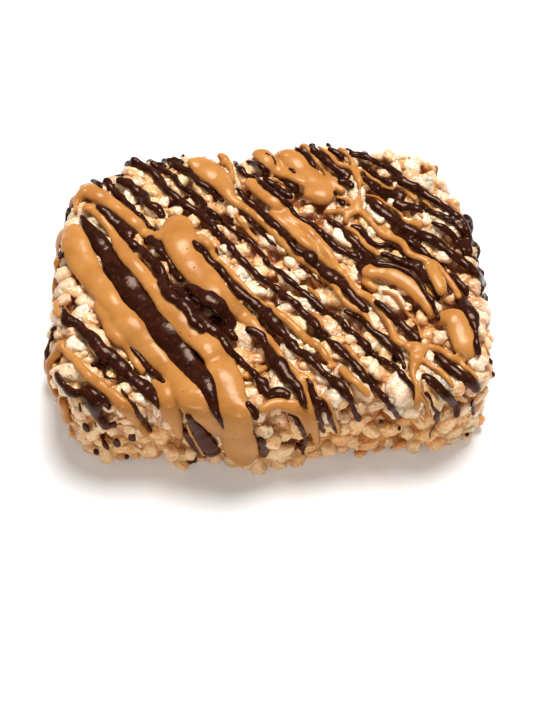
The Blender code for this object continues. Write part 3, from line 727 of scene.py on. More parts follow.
# The wide chocolate band lies level with the peanut butter that it has sunk into
CHOCOLATE_BAND = {
    "wide band": (
        (-47.8, 20.5, 1), (-46.5, 18, 2.2), (-45, 15.5, 3.4), (-43, 12.5, 4.8), (-41, 9.5, 5),
        (-39, 6.5, 5.4), (-37.5, 3.5, 6.2), (-35.5, 0, 7.4), (-33.5, -3.5, 7.8), (-31, -7.2, 7.2),
        (-28.5, -10.5, 6.8), (-25.7, -14, 7), (-23, -17.5, 7.2), (-20.5, -22, 7.2),
        (-18, -25.3, 6.6), (-15.8, -28, 6), (-14.2, -30.5, 5), (-13, -34, 3.6), (-11.8, -37.5, 2.4),
        (-10.5, -40.5, 1.4), (-9.4, -43.2, 0.5),
    ),
    "dark gap": (
        (-32.6, -19.6, 0.8), (-30.4, -22.6, 1.6), (-28, -25.8, 2), (-25.6, -28.4, 1.8),
        (-23.4, -30.4, 1),
    ),
}

# Peanut butter that lies over the chocolate
PEANUT_OVER = {
    "back between": (
        (13.2, 44, 1), (15, 42.8, 1.2), (16.8, 41.2, 1.4), (18, 39.2, 1.3), (19.2, 37.4, 1.4),
        (21, 36.8, 1.6), (22.4, 35.6, 1.8),
    ),
    "upright": (
        (19.8, 43, 1.8), (21, 41.8, 1.8), (21.9, 40.2, 1.1), (22.6, 38.4, 1.3), (23, 36.4, 2.2),
        (23.6, 34.4, 2.2), (24, 32.4, 1.8), (24.2, 30.2, 1.2), (24.2, 28.2, 1), (24.1, 26.2, 1.2),
        (23.6, 24.6, 2.6), (23.2, 22.8, 3.2), (22, 21.6, 3), (20.8, 20.4, 2.2), (20.4, 18.4, 1.6),
        (20.6, 16.8, 0.8),
    ),
    "left branch": (
        (17.6, 26.2, 1), (19.4, 26, 1.1), (21, 25.2, 1.6), (22.4, 24.2, 2.2),
    ),
    "pool lip": (
        (14.3, 21, 1.2), (16.5, 21.4, 1.6), (18.5, 21.6, 1.8), (20.6, 21.6, 2.4),
    ),
    "right branch": (
        (23.8, 22.6, 2.4), (25, 20.6, 2), (26.3, 18.7, 1.8), (27.4, 16.8, 1.7), (28.6, 15, 1.8),
        (30, 13.6, 2), (31.8, 12.9, 2.2), (33.6, 11.8, 2.2), (34.8, 10, 2), (35.7, 8, 2),
        (37.2, 6.8, 2), (39, 6.2, 2.2), (40.4, 4.8, 3), (41.2, 2.8, 3.6), (41.8, 0.6, 3.6),
        (42.6, -1.6, 3.4), (43, -3.8, 3), (43, -5.6, 2),
    ),
    "right branch side": (
        (29.4, 16.8, 1.2), (30.8, 15.2, 1.4), (32.2, 13.8, 1.4),
    ),
    "right finger": (
        (40.5, 5.8, 1.6), (42, 4.6, 2), (43.4, 2.6, 1.6), (44.6, 0.6, 1.6), (45.6, -1.4, 1.7),
        (46.4, -3.4, 1.8), (47, -5.4, 1.8), (46.8, -6.4, 1),
    ),
    "small curl": (
        (20.4, 16.4, 0.8), (21.6, 15.4, 1.5), (23, 14, 1.4), (24, 12, 1.4), (25, 10.4, 1.6),
        (26.4, 9.2, 1.7), (27.8, 8, 1.6), (28.6, 6.6, 1.2),
    ),
    "thin one": (
        (24.3, 36, 1), (25.8, 34.8, 1.1), (27.4, 33, 1.1), (29, 31.4, 1.1), (30.6, 30, 1.1),
        (32, 29.2, 1.1), (33.8, 28.9, 1),
    ),
    "thin two": (
        (33.2, 30.2, 0.8), (34.8, 29.6, 1), (36.2, 28.8, 1.3), (37.2, 27.4, 1.4), (38.2, 25.8, 1.4),
        (39, 24.4, 1.2),
    ),
    "thin three": (
        (24.4, 31.8, 0.9), (25.4, 31, 0.8), (26.4, 29.8, 0.7), (27.2, 28.4, 0.6),
    ),
    "thin drop": (
        (25.2, 27.2, 0.8), (26.6, 26.8, 1), (28.4, 26.2, 1), (29.8, 25.2, 1.1), (31, 24, 1.1),
        (32.2, 23, 1.2), (33.4, 22, 1.3), (34.6, 20.2, 1), (35.2, 18.4, 0.9), (36.6, 17.6, 1.8),
        (38.4, 17.1, 2.6), (40.2, 16.7, 3.2),
    ),
    "small bit": (
        (38.8, 21.2, 0.9), (39.6, 20, 1), (40.4, 18.6, 0.8),
    ),
    "second bit": (
        (40.2, 25.6, 0.9), (41.2, 24.4, 1), (42.2, 23, 0.8), (43, 22, 0.6),
    ),
    "web": (
        (32.6, -19.4, 2.4), (35, -20.6, 4), (36.8, -20.8, 4.6), (38, -19.6, 3),
    ),
    "web down": (
        (36, -21.6, 4.6), (35.4, -23.5, 3.6), (34.6, -26, 2.2), (34.4, -28.4, 1.5),
        (34.8, -30.6, 1.4), (35, -33, 1.2), (34.6, -35.6, 1.6), (34.6, -38, 1),
    ),
    "web right": (
        (38, -19.8, 2), (40, -20.4, 1.8), (42, -21.6, 1.8), (44, -23.1, 1.9), (45.8, -24.8, 1.6),
        (47, -26.2, 1.6), (48.6, -27.8, 1.2), (49.6, -29.6, 1),
    ),
    "web middle": (
        (37.2, -23.4, 1.6), (38.6, -25.4, 1.4), (40.4, -26.6, 1.8), (42, -28.4, 1.8),
        (43.2, -30.4, 1.4), (43.4, -32, 1.2),
    ),
    "web middle end": (
        (43.4, -33.4, 1), (45, -34.4, 1.6), (46.6, -35.4, 1.2),
    ),
    "by the thin drip": (
        (35.6, -33, 1), (36.6, -35.4, 1), (37.4, -38, 0.9), (38.2, -40, 0.7),
    ),
    "front patch thread": (
        (-18.6, -40, 0.9), (-17.6, -42.6, 1), (-16.4, -45.2, 1), (-14.6, -48.4, 1),
        (-13.6, -49.6, 0.8),
    ),
}

# Loose drops of chocolate on the walls: x, y, width, length
CHOCOLATE_DROPS = (
    (-41.2, -42, 1.4, 2.4), (-34.9, -41.3, 1.3, 1.3), (-37.3, -44.2, 0.9, 1),
    (-36.4, -46.5, 0.9, 2.6), (-33.8, -46, 1.5, 2.2), (-30.4, -44.6, 1.6, 2.2),
    (-38.3, -48.3, 1.4, 1), (-31.4, -49.5, 1, 1.4), (-48.3, -36.8, 0.8, 2.5), (-53, -25, 0.8, 3.5),
    (-51.1, 7.3, 0.8, 1.6), (-17.3, -50.8, 1.2, 1.2), (-16.1, -50.2, 1, 1.6),
    (52.8, -24.2, 0.5, 1.3), (53, -27.8, 0.7, 1), (45.5, -43.8, 0.8, 0.5), (-39.3, 34.8, 0.6, 1),
    (-29, 39.3, 1.6, 1.6), (-27.8, 37.5, 0.6, 2), (30.2, -42.2, 0.6, 0.8), (26.2, -40.6, 0.6, 2.2),
)

# Runs over the edges that face away: x and y on the rim, width, lowest height
CHOCOLATE_RUNS = (
    (-36.3, 38.6, 2.4, 11.0), (-30.9, 39.4, 1.6, 16.0), (-27.0, 40.4, 1.9, 5.0),
    (-22.8, 41.3, 1.2, 14.0), (-44.8, 32.4, 2.0, 13.0), (-8.2, 38.6, 1.7, 16.0),
    (12.2, 44.2, 2.8, 8.0), (16.2, 43.8, 1.6, 15.0), (7.4, 43.0, 1.2, 18.0), (21.0, 43.0, 1.6, 3.5),
    (25.5, 41.2, 1.9, 17.0), (53.5, 12.0, 2.6, 10.0), (53.8, 8.0, 1.6, 17.0),
    (54.0, 4.0, 1.9, 13.0), (51.0, 19.0, 2.6, 6.0), (54.5, -3.0, 1.4, 16.0),
    (-52.5, -15.0, 1.6, 15.0), (-52.5, 10.0, 1.3, 17.0), (-51.5, 22.0, 1.8, 12.0),
    (-40.5, 36.0, 1.3, 18.0),
)
PEANUT_RUNS = (
    (-16.8, 40.6, 1.2, 14.0), (-12.2, 41.0, 2.6, 13.0), (4.2, 43.4, 4.8, 9.0),
    (-2.9, 42.8, 2.8, 15.0), (9.2, 44.0, 1.5, 12.0), (-50.5, 27.0, 3.6, 9.0),
    (-47.0, 30.5, 2.2, 15.0), (-53.0, 15.0, 5.6, 6.0), (-53.0, 6.0, 2.6, 14.0),
    (-53.0, -23.0, 3.0, 10.0), (54.0, -21.0, 1.6, 15.0), (52.5, 16.0, 1.7, 14.0),
    (13.6, 44.2, 1.3, 17.0), (20.0, 43.3, 1.8, 12.0), (44.5, 36.0, 1.4, 16.0),
)


def fade(distance, radius):
    """One at the middle of a dent, falling smoothly to nothing."""
    return math.exp(-((distance / radius) ** 2) * DENT_FALL)


def top_height(x, y):
    """The height of the smooth top at a place."""
    height = HEIGHT + TOP_WAVE * noise.noise(Vector((x, y, 3.0)) / WAVE_LENGTH)
    for place, radius, depth in TOP_DENTS.values():
        height -= depth * fade((Vector((x, y)) - Vector(place)).length, radius)
    return height


def outline_reach():
    """Angles round the block's middle and the outline's distance at each."""
    turns, reaches = [], []
    for x, y in OUTLINE:
        way = Vector((x, y)) - CENTRE.xy
        turns.append(math.atan2(way.y, way.x))
        reaches.append(way.length)
    order = np.argsort(turns)
    return np.array(turns)[order], np.array(reaches)[order]


OUTLINE_TURNS, OUTLINE_REACHES = outline_reach()


def wall_place(angle, height):
    """The outline of the block in one direction from its middle, at one height."""
    reach = float(np.interp(angle, OUTLINE_TURNS, OUTLINE_REACHES, period=math.tau))
    way = Vector((math.cos(angle), math.sin(angle)))
    place = CENTRE.xy + way * reach
    sample = Vector((place.x, place.y, height)) / WAVE_LENGTH * WALL_WAVE_PACE
    wave = WALL_WAVE * noise.noise(sample)
    return place + way * wave


def settle(corner):
    """Moves a point of the cube from -1 to 1 to its place on the block."""
    u, v, w = corner
    share = max(abs(u), abs(v))
    if share < 1e-6:
        plan = CENTRE.xy.copy()
    else:
        edge = wall_place(math.atan2(v * HALF_DEPTH, u * HALF_WIDTH), w * HEIGHT / 2)
        way = edge - CENTRE.xy
        inset = TOP_INSET * max(0.0, w) ** TOP_POWER - BASE_FLARE * max(0.0, -w) ** BASE_POWER
        plan = CENTRE.xy + way * share * (1.0 - inset / way.length)
    return Vector((plan.x, plan.y, top_height(plan.x, plan.y) * (w + 1.0) / 2.0))


def evaluated_copy(item):
    """The mesh that the object's modifiers make."""
    evaluated = item.evaluated_get(bpy.context.evaluated_depsgraph_get())
    return bpy.data.meshes.new_from_object(evaluated)


def scratch_object(mesh):
    item = bpy.data.objects.new(mesh.name, mesh)
    bpy.context.scene.collection.objects.link(item)
    return item


def block_form():
    """The block's smooth form in millimetres, as points, faces and normals."""
    shape = bmesh.new()
    bmesh.ops.create_cube(shape, size=2.0)
    for axis, cells in enumerate(CAGE_CELLS):
        normal = Vector((0.0, 0.0, 0.0))
        normal[axis] = 1.0
        for cut in range(1, cells):
            everything = shape.verts[:] + shape.edges[:] + shape.faces[:]
            at = normal * (2.0 * cut / cells - 1.0)
            bmesh.ops.bisect_plane(shape, geom=everything, plane_co=at, plane_no=normal)
    for vert in shape.verts:
        vert.co = settle(vert.co.copy())
    bmesh.ops.recalc_face_normals(shape, faces=shape.faces)
    mesh = bpy.data.meshes.new("form")
    shape.to_mesh(mesh)
    shape.free()
    item = scratch_object(mesh)
    smooth = item.modifiers.new("smooth", "SUBSURF")
    smooth.levels = FORM_LEVELS
    form = evaluated_copy(item)
    bpy.data.objects.remove(item)
    return form


def points_of(mesh):
    points = np.empty(len(mesh.vertices) * 3)
    mesh.vertices.foreach_get("co", points)
    return points.reshape(-1, 3)


def tree_of(points, faces):
    return BVHTree.FromPolygons([tuple(p) for p in points], [tuple(f) for f in faces])


class Heap:
    """Points and faces of many small shapes, gathered to make one mesh."""

    def __init__(self):
        self.points = []
        self.faces = []
        self.tones = []
        self.lifts = []
        self.count = 0

    def add(self, points, faces, tone=0.0, lift=0.0):
        self.points.append(points)
        self.faces.extend((np.asarray(face) + self.count).tolist() for face in faces)
        self.tones.append(np.full(len(points), tone))
        self.lifts.append(np.zeros(len(points)) + lift)
        self.count += len(points)

    def all_points(self):
        return np.concatenate(self.points)


def make_mesh(name, points, faces):
    """A mesh in metres, in the solid's frame, from points in millimetres."""
    mesh = bpy.data.meshes.new(name)
    mesh.from_pydata(((points - MIDDLE) * MM).tolist(), [], faces)
    mesh.update()
    mesh.shade_smooth()
    return mesh


def place_piece(mesh, material):
    item = bpy.data.objects.new(mesh.name, mesh)
    bpy.context.scene.collection.objects.link(item)
    item.data.materials.clear()
    item.data.materials.append(material)
    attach(item, "root")
    return item


def unit_grain(detail):
    """A sphere of radius one, as points and triangles."""
    shape = bmesh.new()
    bmesh.ops.create_icosphere(shape, subdivisions=detail, radius=1.0)
    points = np.array([vert.co[:] for vert in shape.verts])
    faces = np.array([[vert.index for vert in face.verts] for face in shape.faces])
    shape.free()
    return points, faces


def puffed(unit, size, draw):
    """One puffed grain: long, a little bent, creased, blistered and crinkled."""
    length, width, height = size
    points = unit * (length / 2, width / 2, height / 2)
    bend = draw.uniform(-GRAIN_BEND, GRAIN_BEND) / length
    points[:, 1:] *= 1.0 - draw.uniform(0.0, GRAIN_PINCH) * unit[:, :1]
    points[:, 2] += bend * points[:, 0] ** 2
    slant = draw.uniform(-CREASE_SLANT, CREASE_SLANT)
    groove = unit[:, 1] - slant * unit[:, 0]
    upper = unit[:, 2] > -0.1
    crease = draw.uniform(*CREASE_DEPTH) * np.exp(-((groove / CREASE_WIDTH) ** 2)) * upper
    start = Vector([draw.uniform(-50, 50) for _ in range(3)])
    swell = np.array([blister(Vector(p), start) for p in points])
    return points + unit * (swell - crease)[:, None]


def blister(place, start):
    """How far a grain's skin stands out at a place, in millimetres."""
    wide = WIDE_BLISTER["height"] * noise.noise(place * WIDE_BLISTER["pace"] + start)
    fold = abs(noise.noise(place * RIDGE["pace"] + start))
    ridges = RIDGE["height"] * (RIDGE["level"] - fold)
    fine = FINE_BLISTER["height"] * noise.noise(place * FINE_BLISTER["pace"] + start)
    return wide + ridges + fine


def spread(form, count, apart, draw):
    """Places and normals spread over the form, no two closer than apart."""
    points = points_of(form)
    faces = form.polygons
    weights = [face.area for face in faces]
    taken, normals, cells = [], [], {}
    for index in draw.choices(range(len(faces)), weights=weights, k=count * SPREAD_TRIES):
        if len(taken) >= count:
            break
        if faces[index].normal.z < BASE_SLOPE and draw.random() > BASE_SHARE:
            continue
        corners = points[list(faces[index].vertices)]
        shares = np.array([draw.random() + 0.02 for _ in corners])
        place = (corners * shares[:, None]).sum(axis=0) / shares.sum()
        cell = tuple((place // apart).astype(int))
        near = [q for dx in (-1, 0, 1) for dy in (-1, 0, 1) for dz in (-1, 0, 1)
                for q in cells.get((cell[0] + dx, cell[1] + dy, cell[2] + dz), ())]
        if any(((place - q) ** 2).sum() < apart * apart for q in near):
            continue
        cells.setdefault(cell, []).append(place)
        taken.append(place)
        normals.append(np.array(faces[index].normal))
    return taken, normals


def clump(place):
    """How far the grains at a place stand out, in clumps about as wide as three grains."""
    return CLUMP_HEIGHT * noise.noise(Vector(place) / CLUMP_LENGTH + Vector((4.0, 8.0, 1.0)))


def in_cavity(place):
    """Whether the grain at a place is missing."""
    return any(np.linalg.norm(place - np.array(middle)) < radius for middle, radius in CAVITIES)


def add_large_grains(form, heap, draw):
    """The pale grains that can be told one by one, where they lie."""
    unit, faces = unit_grain(FINE_DETAIL)
    smooth = tree_of(points_of(form), [face.vertices for face in form.polygons])
    for x, y, length, width, degrees in LARGE_GRAINS:
        way = (Vector((x, y, POUR_PLANE)) - POUR_POINT).normalized()
        hit, normal, _, _ = smooth.ray_cast(POUR_POINT, way)
        if hit is None:
            continue
        points = puffed(unit, (length, width, width * LARGE_FLATNESS), draw)
        turn = normal.to_track_quat("Z", "Y").to_matrix()
        flat = Vector((math.cos(math.radians(degrees)), math.sin(math.radians(degrees)), 0.0))
        along = turn.inverted() @ flat
        spin = Vector((along.x, along.y, 0.0)).to_track_quat("X", "Z").to_matrix()
        place = np.array(hit + normal * LARGE_LIFT)
        points = points @ np.array(turn @ spin).T + place
        heap.add(points, faces, 1.0, (points - np.array(hit)) @ np.array(normal))


def grain_size(lengths, draw):
    """The length, width and height of one grain."""
    length = draw.uniform(*lengths)
    if draw.random() < LONG_SHARE:
        length *= LONG_STRETCH
    width = length * draw.uniform(*GRAIN_ASPECT)
    return length, width, width * draw.uniform(*GRAIN_FLATNESS)


def grain_turn(normal, draw):
    """A random turn for a grain that lies nearly flat on a surface."""
    turn = Vector(normal).to_track_quat("Z", "Y").to_matrix()
    angle = draw.uniform(0, math.tau)
    lean = draw.uniform(-GRAIN_TILT, GRAIN_TILT)
    spin = Vector((math.cos(angle), math.sin(angle), lean))
    return np.array(turn @ spin.to_track_quat("X", "Z").to_matrix())


def grain_kind(place, draw):
    """Pale, golden or toasted, in patches."""
    pick = draw.random() + PATCH_SHARE * noise.noise(Vector(place) / PATCH_LENGTH)
    if pick < PALE_BELOW:
        return "pale"
    return "golden" if pick < GOLDEN_BELOW else "toasted"


def make_grains(form):
    """All grains in two layers, as heaps from pale to toasted."""
    draw = random.Random(SEED)
    coarse = unit_grain(COARSE_DETAIL)
    fine = unit_grain(FINE_DETAIL)
    heaps = {"pale": Heap(), "golden": Heap(), "toasted": Heap()}
    for layer in GRAIN_LAYERS.values():
        places, normals = spread(form, layer["count"], layer["apart"], draw)
        for place, normal in zip(places, normals):
            if in_cavity(place):
                continue
            unit, faces = fine if layer["fine"] and normal[2] > FINE_SLOPE else coarse
            points = puffed(unit, grain_size(layer["length"], draw), draw)
            out = place + normal * (clump(place) - layer["depth"])
            points = points @ grain_turn(normal, draw).T + out
            ground = GROUND_GAP + GROUND_SPREAD * draw.random()
            points[:, 2] = np.maximum(points[:, 2], ground)
            kind = grain_kind(place, draw)
            heaps[kind].add(points, faces, draw.random(), (points - place) @ normal)
    add_large_grains(form, heaps["pale"], draw)
    return heaps


def add_core(form, heap):
    """The sticky middle of the block, as one lumpy closed shape."""
    points = points_of(form)
    normals = np.array([vert.normal[:] for vert in form.vertices])
    wide = np.array([noise.noise(Vector(p) / CORE_WIDE_LENGTH) for p in points])
    fine = np.array([noise.noise(Vector(p) / CORE_FINE_LENGTH) for p in points])
    lumps = wide + CORE_FINE_SHARE * fine
    dents = np.zeros(len(points))
    for middle, radius in CAVITIES:
        away = np.linalg.norm(points - np.array(middle), axis=1)
        dents += CAVITY_DEPTH * np.exp(-((away / radius) ** 2))
    points = points + normals * (CORE_LUMPS * lumps - CORE_INSET - dents)[:, None]
    points[:, 2] = np.maximum(points[:, 2], CORE_BASE)
    heap.add(points, [tuple(face.vertices) for face in form.polygons])


def curve_through(way_points, step):
    """A smooth curve through the way points, read about every step."""
    points = [np.array(p, float) for p in way_points]
    ends = [points[0] * 2 - points[1], *points, points[-1] * 2 - points[-2]]
    found = []
    for a, b, c, d in zip(ends, ends[1:], ends[2:], ends[3:]):
        count = max(1, round(float(np.linalg.norm((c - b)[:2])) / step))
        for i in range(count):
            t = i / count
            square = (a * 2 - b * 5 + c * 4 - d) * t**2
            cube = (b * 3 - a - c * 3 + d) * t**3
            found.append((b * 2 + (c - a) * t + square + cube) / 2)
    found.append(points[-1])
    return found


def eased(values, reach):
    """The values smoothed with a bell whose half width is reach samples."""
    span = max(1, int(reach * 2))
    bell = np.exp(-0.5 * (np.arange(-span, span + 1) / max(reach, 0.5)) ** 2)
    padded = np.pad(values, span, mode="edge")
    return np.convolve(padded, bell / bell.sum(), mode="valid")


def bridged(values, reach):
    """The highest value within reach samples of each."""
    span = max(1, int(reach))
    padded = np.pad(values, span, mode="edge")
    return np.max([padded[i:i + len(values)] for i in range(2 * span + 1)], axis=0)


def by_width(values, width):
    """The value for a thin strand, and what the width adds to it."""
    least, more = values
    return least + more * width


class Layer:
    """Lays strands on what is already there."""

    def __init__(self, form, heaps):
        self.form = tree_of(points_of(form), [face.vertices for face in form.polygons])
        self.points = [heap.all_points() for heap in heaps]
        self.faces = []
        start = 0
        for heap, points in zip(heaps, self.points):
            self.faces.extend((np.asarray(heap.faces) + start).tolist())
            start += len(points)
        self.count = start
        self.refresh()

    def refresh(self):
        self.top = tree_of(np.concatenate(self.points), self.faces)

    def add(self, heap):
        self.points.append(heap.all_points())
        self.faces.extend([[i + self.count for i in face] for face in heap.faces])
        self.count += heap.count
        self.refresh()

    def height_at(self, origin, ways, reach):
        """How far what is there stands out above the smooth form, over the width of the strand."""
        found = []
        for way in ways:
            hit, _, _, far = self.top.ray_cast(origin, way)
            if hit is not None:
                found.append(min(max(reach - far, DEEPEST_DIP), HIGHEST_RISE))
        found.sort()
        return sum(found[-2:]) / len(found[-2:]) if found else 0.0

    def graze(self, origin, way):
        """Normal, reach and gap where a ray that misses the form comes nearest to it."""
        reach = (CENTRE - origin).length
        for _ in range(GRAZE_STEPS):
            place, normal, _, gap = self.form.find_nearest(origin + way * reach)
            reach = (place - origin).dot(way)
        return normal, reach, gap

    def middle_line(self, rays, sink):
        """Where a strand's middle lies along rays of origin, ways across the strand and width."""
        kept, heights = [], []
        for origin, ways, width in rays:
            way = ways[len(ways) // 2]
            place, normal, _, reach = self.form.ray_cast(origin, way)
            if place is None:
                normal, reach, gap = self.graze(origin, way)
                if gap > GRAZE_GAP:
                    continue
            kept.append((origin, way, width, reach, normal))
            heights.append(self.height_at(origin, ways, reach))
        if len(kept) < 2:
            return []
        typical = float(np.mean([k[2] for k in kept]))
        reach_smooth = eased(np.array([k[3] for k in kept]), by_width(REACH_EASE, typical))
        heights = bridged(np.array(heights), by_width(BRIDGE, typical))
        heights = eased(heights, by_width(HEIGHT_EASE, typical))
        line = []
        for (origin, way, width, _, normal), reach, height in zip(kept, reach_smooth, heights):
            full = width + SKIN_LOSS
            thick = thickness(full)
            place = origin + way * (reach - height - thick * (0.5 - sink))
            line.append((place, normal, full, thick))
        return line


def thickness(width):
    """Thin strands are round, wide ones flow out flat."""
    return min(ROUND_SHARE * width, by_width(FLAT_THICKNESS, width))


def end_share(along, total, width):
    """How full a strand is near its ends, which are rounded."""
    part = min(along, total - along) / max(width * 0.5, 0.2)
    rounded = math.sqrt(max(0.0, 1.0 - (1.0 - min(1.0, part)) ** 2))
    return rounded * (1.0 - END_SHARE) + END_SHARE


def tube_faces(rings):
    """Faces round a tube of so many rings, and one across each end."""
    faces = []
    for i in range(rings - 1):
        a, b = i * TUBE_SIDES, (i + 1) * TUBE_SIDES
        for j in range(TUBE_SIDES):
            k = (j + 1) % TUBE_SIDES
            faces.append([a + j, a + k, b + k, b + j])
    faces.append(list(range(TUBE_SIDES))[::-1])
    faces.append([(rings - 1) * TUBE_SIDES + j for j in range(TUBE_SIDES)])
    return faces


def tube(line, heap, draw, wobble):
    """A strand of elliptical section along the line, its ends rounded."""
    centres = np.array([place[:] for place, _, _, _ in line])
    for axis in range(3):
        centres[:, axis] = eased(centres[:, axis], PATH_EASE)
    steps = np.linalg.norm(np.diff(centres, axis=0), axis=1)
    along = np.concatenate([[0.0], np.cumsum(steps)])
    tangents = np.gradient(centres, axis=0)
    start = draw.uniform(0, 500)
    angles = np.arange(TUBE_SIDES) * math.tau / TUBE_SIDES
    rings = []
    for i, (_, normal, width, thick) in enumerate(line):
        tangent = Vector(tangents[i]).normalized()
        side = tangent.cross(normal).normalized()
        up = side.cross(tangent).normalized()
        loose = wobble * min(MOST_WOBBLE, WOBBLE_WIDTH / width)
        swell = 1.0 + loose * noise.noise(Vector((start, along[i] / BEAD_LENGTH, 0.0)))
        swing = Vector((start, along[i] / (SWAY_STRETCH * BEAD_LENGTH), 7.0))
        middle = Vector(centres[i]) + side * (loose * noise.noise(swing))
        full = end_share(along[i], along[-1], width)
        half_width = width / 2 * swell * full
        half_thick = thick / 2 * (1.0 - THICK_WOBBLE + THICK_WOBBLE * swell) * full
        rings.append([
            middle + side * (half_width * math.cos(a)) + up * (half_thick * math.sin(a))
            for a in angles
        ])
    points = np.array([[p[:] for p in ring] for ring in rings]).reshape(-1, 3)
    heap.add(points, tube_faces(len(rings)))


def poured_rays(route):
    """Rays down through the pouring plane: the strand's middle and a way to each side of it."""
    curve = curve_through(route, LAY_STEP)
    slopes = np.gradient(np.array(curve)[:, :2], axis=0)
    for (x, y, width), (dx, dy) in zip(curve, slopes):
        size = math.hypot(dx, dy) or 1.0
        across = Vector((-dy / size, dx / size, 0.0)) * (FEELER_SHARE * width)
        aim = Vector((x, y, POUR_PLANE)) - POUR_POINT
        ways = [(aim + across * side).normalized() for side in (-1, 0, 1)]
        yield POUR_POINT, ways, width


def run_rays(x, y, width, low, draw):
    """Rays towards the block's middle, down from a place on the rim."""
    middle = Vector((CENTRE.x, CENTRE.y, HEIGHT / 2))
    out = Vector((x, y, 0.0)) - Vector((middle.x, middle.y, 0.0))
    distance = out.length
    high_angle = math.atan2(HEIGHT / 2, distance * RUN_START)
    low_angle = math.atan2(low - HEIGHT / 2, distance)
    count = max(6, int((high_angle - low_angle) * distance / LAY_STEP))
    swing = draw.uniform(-RUN_SWING, RUN_SWING)
    start = draw.uniform(0, 90)
    neck = draw.uniform(*RUN_NECK)
    bulb = draw.uniform(0.0, RUN_BULB)
    for i in range(count + 1):
        t = i / count
        lift = high_angle + (low_angle - high_angle) * t
        wander = noise.noise(Vector((start, RUN_WANDER_PACE * t, 0.0)))
        turn = swing * t * t + RUN_WANDER * t * wander
        flat = out.copy()
        flat.rotate(Euler((0.0, 0.0, turn)))
        flat.normalize()
        way = Vector((flat.x * math.cos(lift), flat.y * math.cos(lift), math.sin(lift)))
        full = width * (1.0 - neck * math.sin(math.pi * min(1.0, t * 1.25)) + bulb * t**4)
        yield middle + way * FAR_OUT, [-way], full


def add_bead(layer, heap, origin, way, size, draw):
    """One flat bead of chocolate where a ray lands, longer down the wall."""
    unit, faces = unit_grain(FINE_DETAIL)
    hit, _, _, _ = layer.top.ray_cast(origin, way)
    if hit is None:
        return
    _, normal, _, _ = layer.form.find_nearest(hit)
    turn = normal.to_track_quat("Z", "Y").to_matrix()
    along = turn.inverted() @ Vector((draw.uniform(-0.4, 0.4), -0.4 * draw.random(), -1.2))
    spin = Vector((along.x, along.y, 0.0)).to_track_quat("X", "Z").to_matrix()
    length, width = size
    shape = unit * (length / 2 + DROP_SPREAD, width / 2 + DROP_SPREAD, DROP_HEIGHT)
    shape[:, 1] *= 1.0 + 0.3 * unit[:, 0] * draw.uniform(-1.0, 1.0)
    heap.add(shape @ np.array(turn @ spin).T + np.array(hit), faces)


def add_drops(layer, heap, draw):
    """Loose beads: those that show, and more of their kind on the far walls."""
    for x, y, width, length in CHOCOLATE_DROPS:
        way = (Vector((x, y, POUR_PLANE)) - POUR_POINT).normalized()
        size = (max(length * DROP_STRETCH, width), width)
        add_bead(layer, heap, POUR_POINT, way, size, draw)
    middle = Vector((CENTRE.x, CENTRE.y, HEIGHT / 2))
    for _ in range(FAR_DROPS):
        angle = draw.uniform(0.05, math.pi - 0.05)
        out = Vector((math.cos(angle), math.sin(angle), 0.0))
        target = middle + Vector((0.0, 0.0, draw.uniform(*FAR_DROP_LIFT)))
        width = draw.uniform(*FAR_DROP_WIDTH)
        size = (width * draw.uniform(*FAR_DROP_STRETCH), width)
        add_bead(layer, heap, target + out * FAR_OUT, -out, size, draw)


def lay_all(layer, routes, draw, sink, wobble):
    """One heap of strands, all laid on the layer as it is."""
    heap = Heap()
    for rays in routes:
        line = layer.middle_line(rays, sink)
        if len(line) > 2:
            tube(line, heap, draw, wobble)
    return heap


def melted(name, heaps, voxel, relax, inset=0.0):
    """One smooth skin round overlapping shapes, drawn in by the inset."""
    points = np.concatenate([heap.all_points() for heap in heaps])
    faces, start = [], 0
    for heap in heaps:
        faces.extend([[i + start for i in face] for face in heap.faces])
        start += heap.count
    item = scratch_object(make_mesh("overlapping", points, faces))
    skin = item.modifiers.new("skin", "REMESH")
    skin.mode = "VOXEL"
    skin.voxel_size = voxel * MM
    ease = item.modifiers.new("ease", "SMOOTH")
    ease.factor = 0.5
    ease.iterations = relax
    draw_in = item.modifiers.new("draw in", "DISPLACE")
    draw_in.mid_level = 0.0
    draw_in.strength = -inset * MM
    mesh = evaluated_copy(item)
    bpy.data.objects.remove(item)
    mesh.name = name
    mesh.shade_smooth()
    return mesh


def store_lift(mesh, form_tree):
    """Keeps how far each point lies above the block's smooth form, in millimetres."""
    lifts = np.empty(len(mesh.vertices), dtype=np.float32)
    for vert in mesh.vertices:
        point = Vector(np.array(vert.co) / MM + MIDDLE)
        place, normal, _, _ = form_tree.find_nearest(point)
        lifts[vert.index] = (point - place).dot(normal)
    mesh.attributes.new("lift", "FLOAT", "POINT").data.foreach_set("value", lifts)


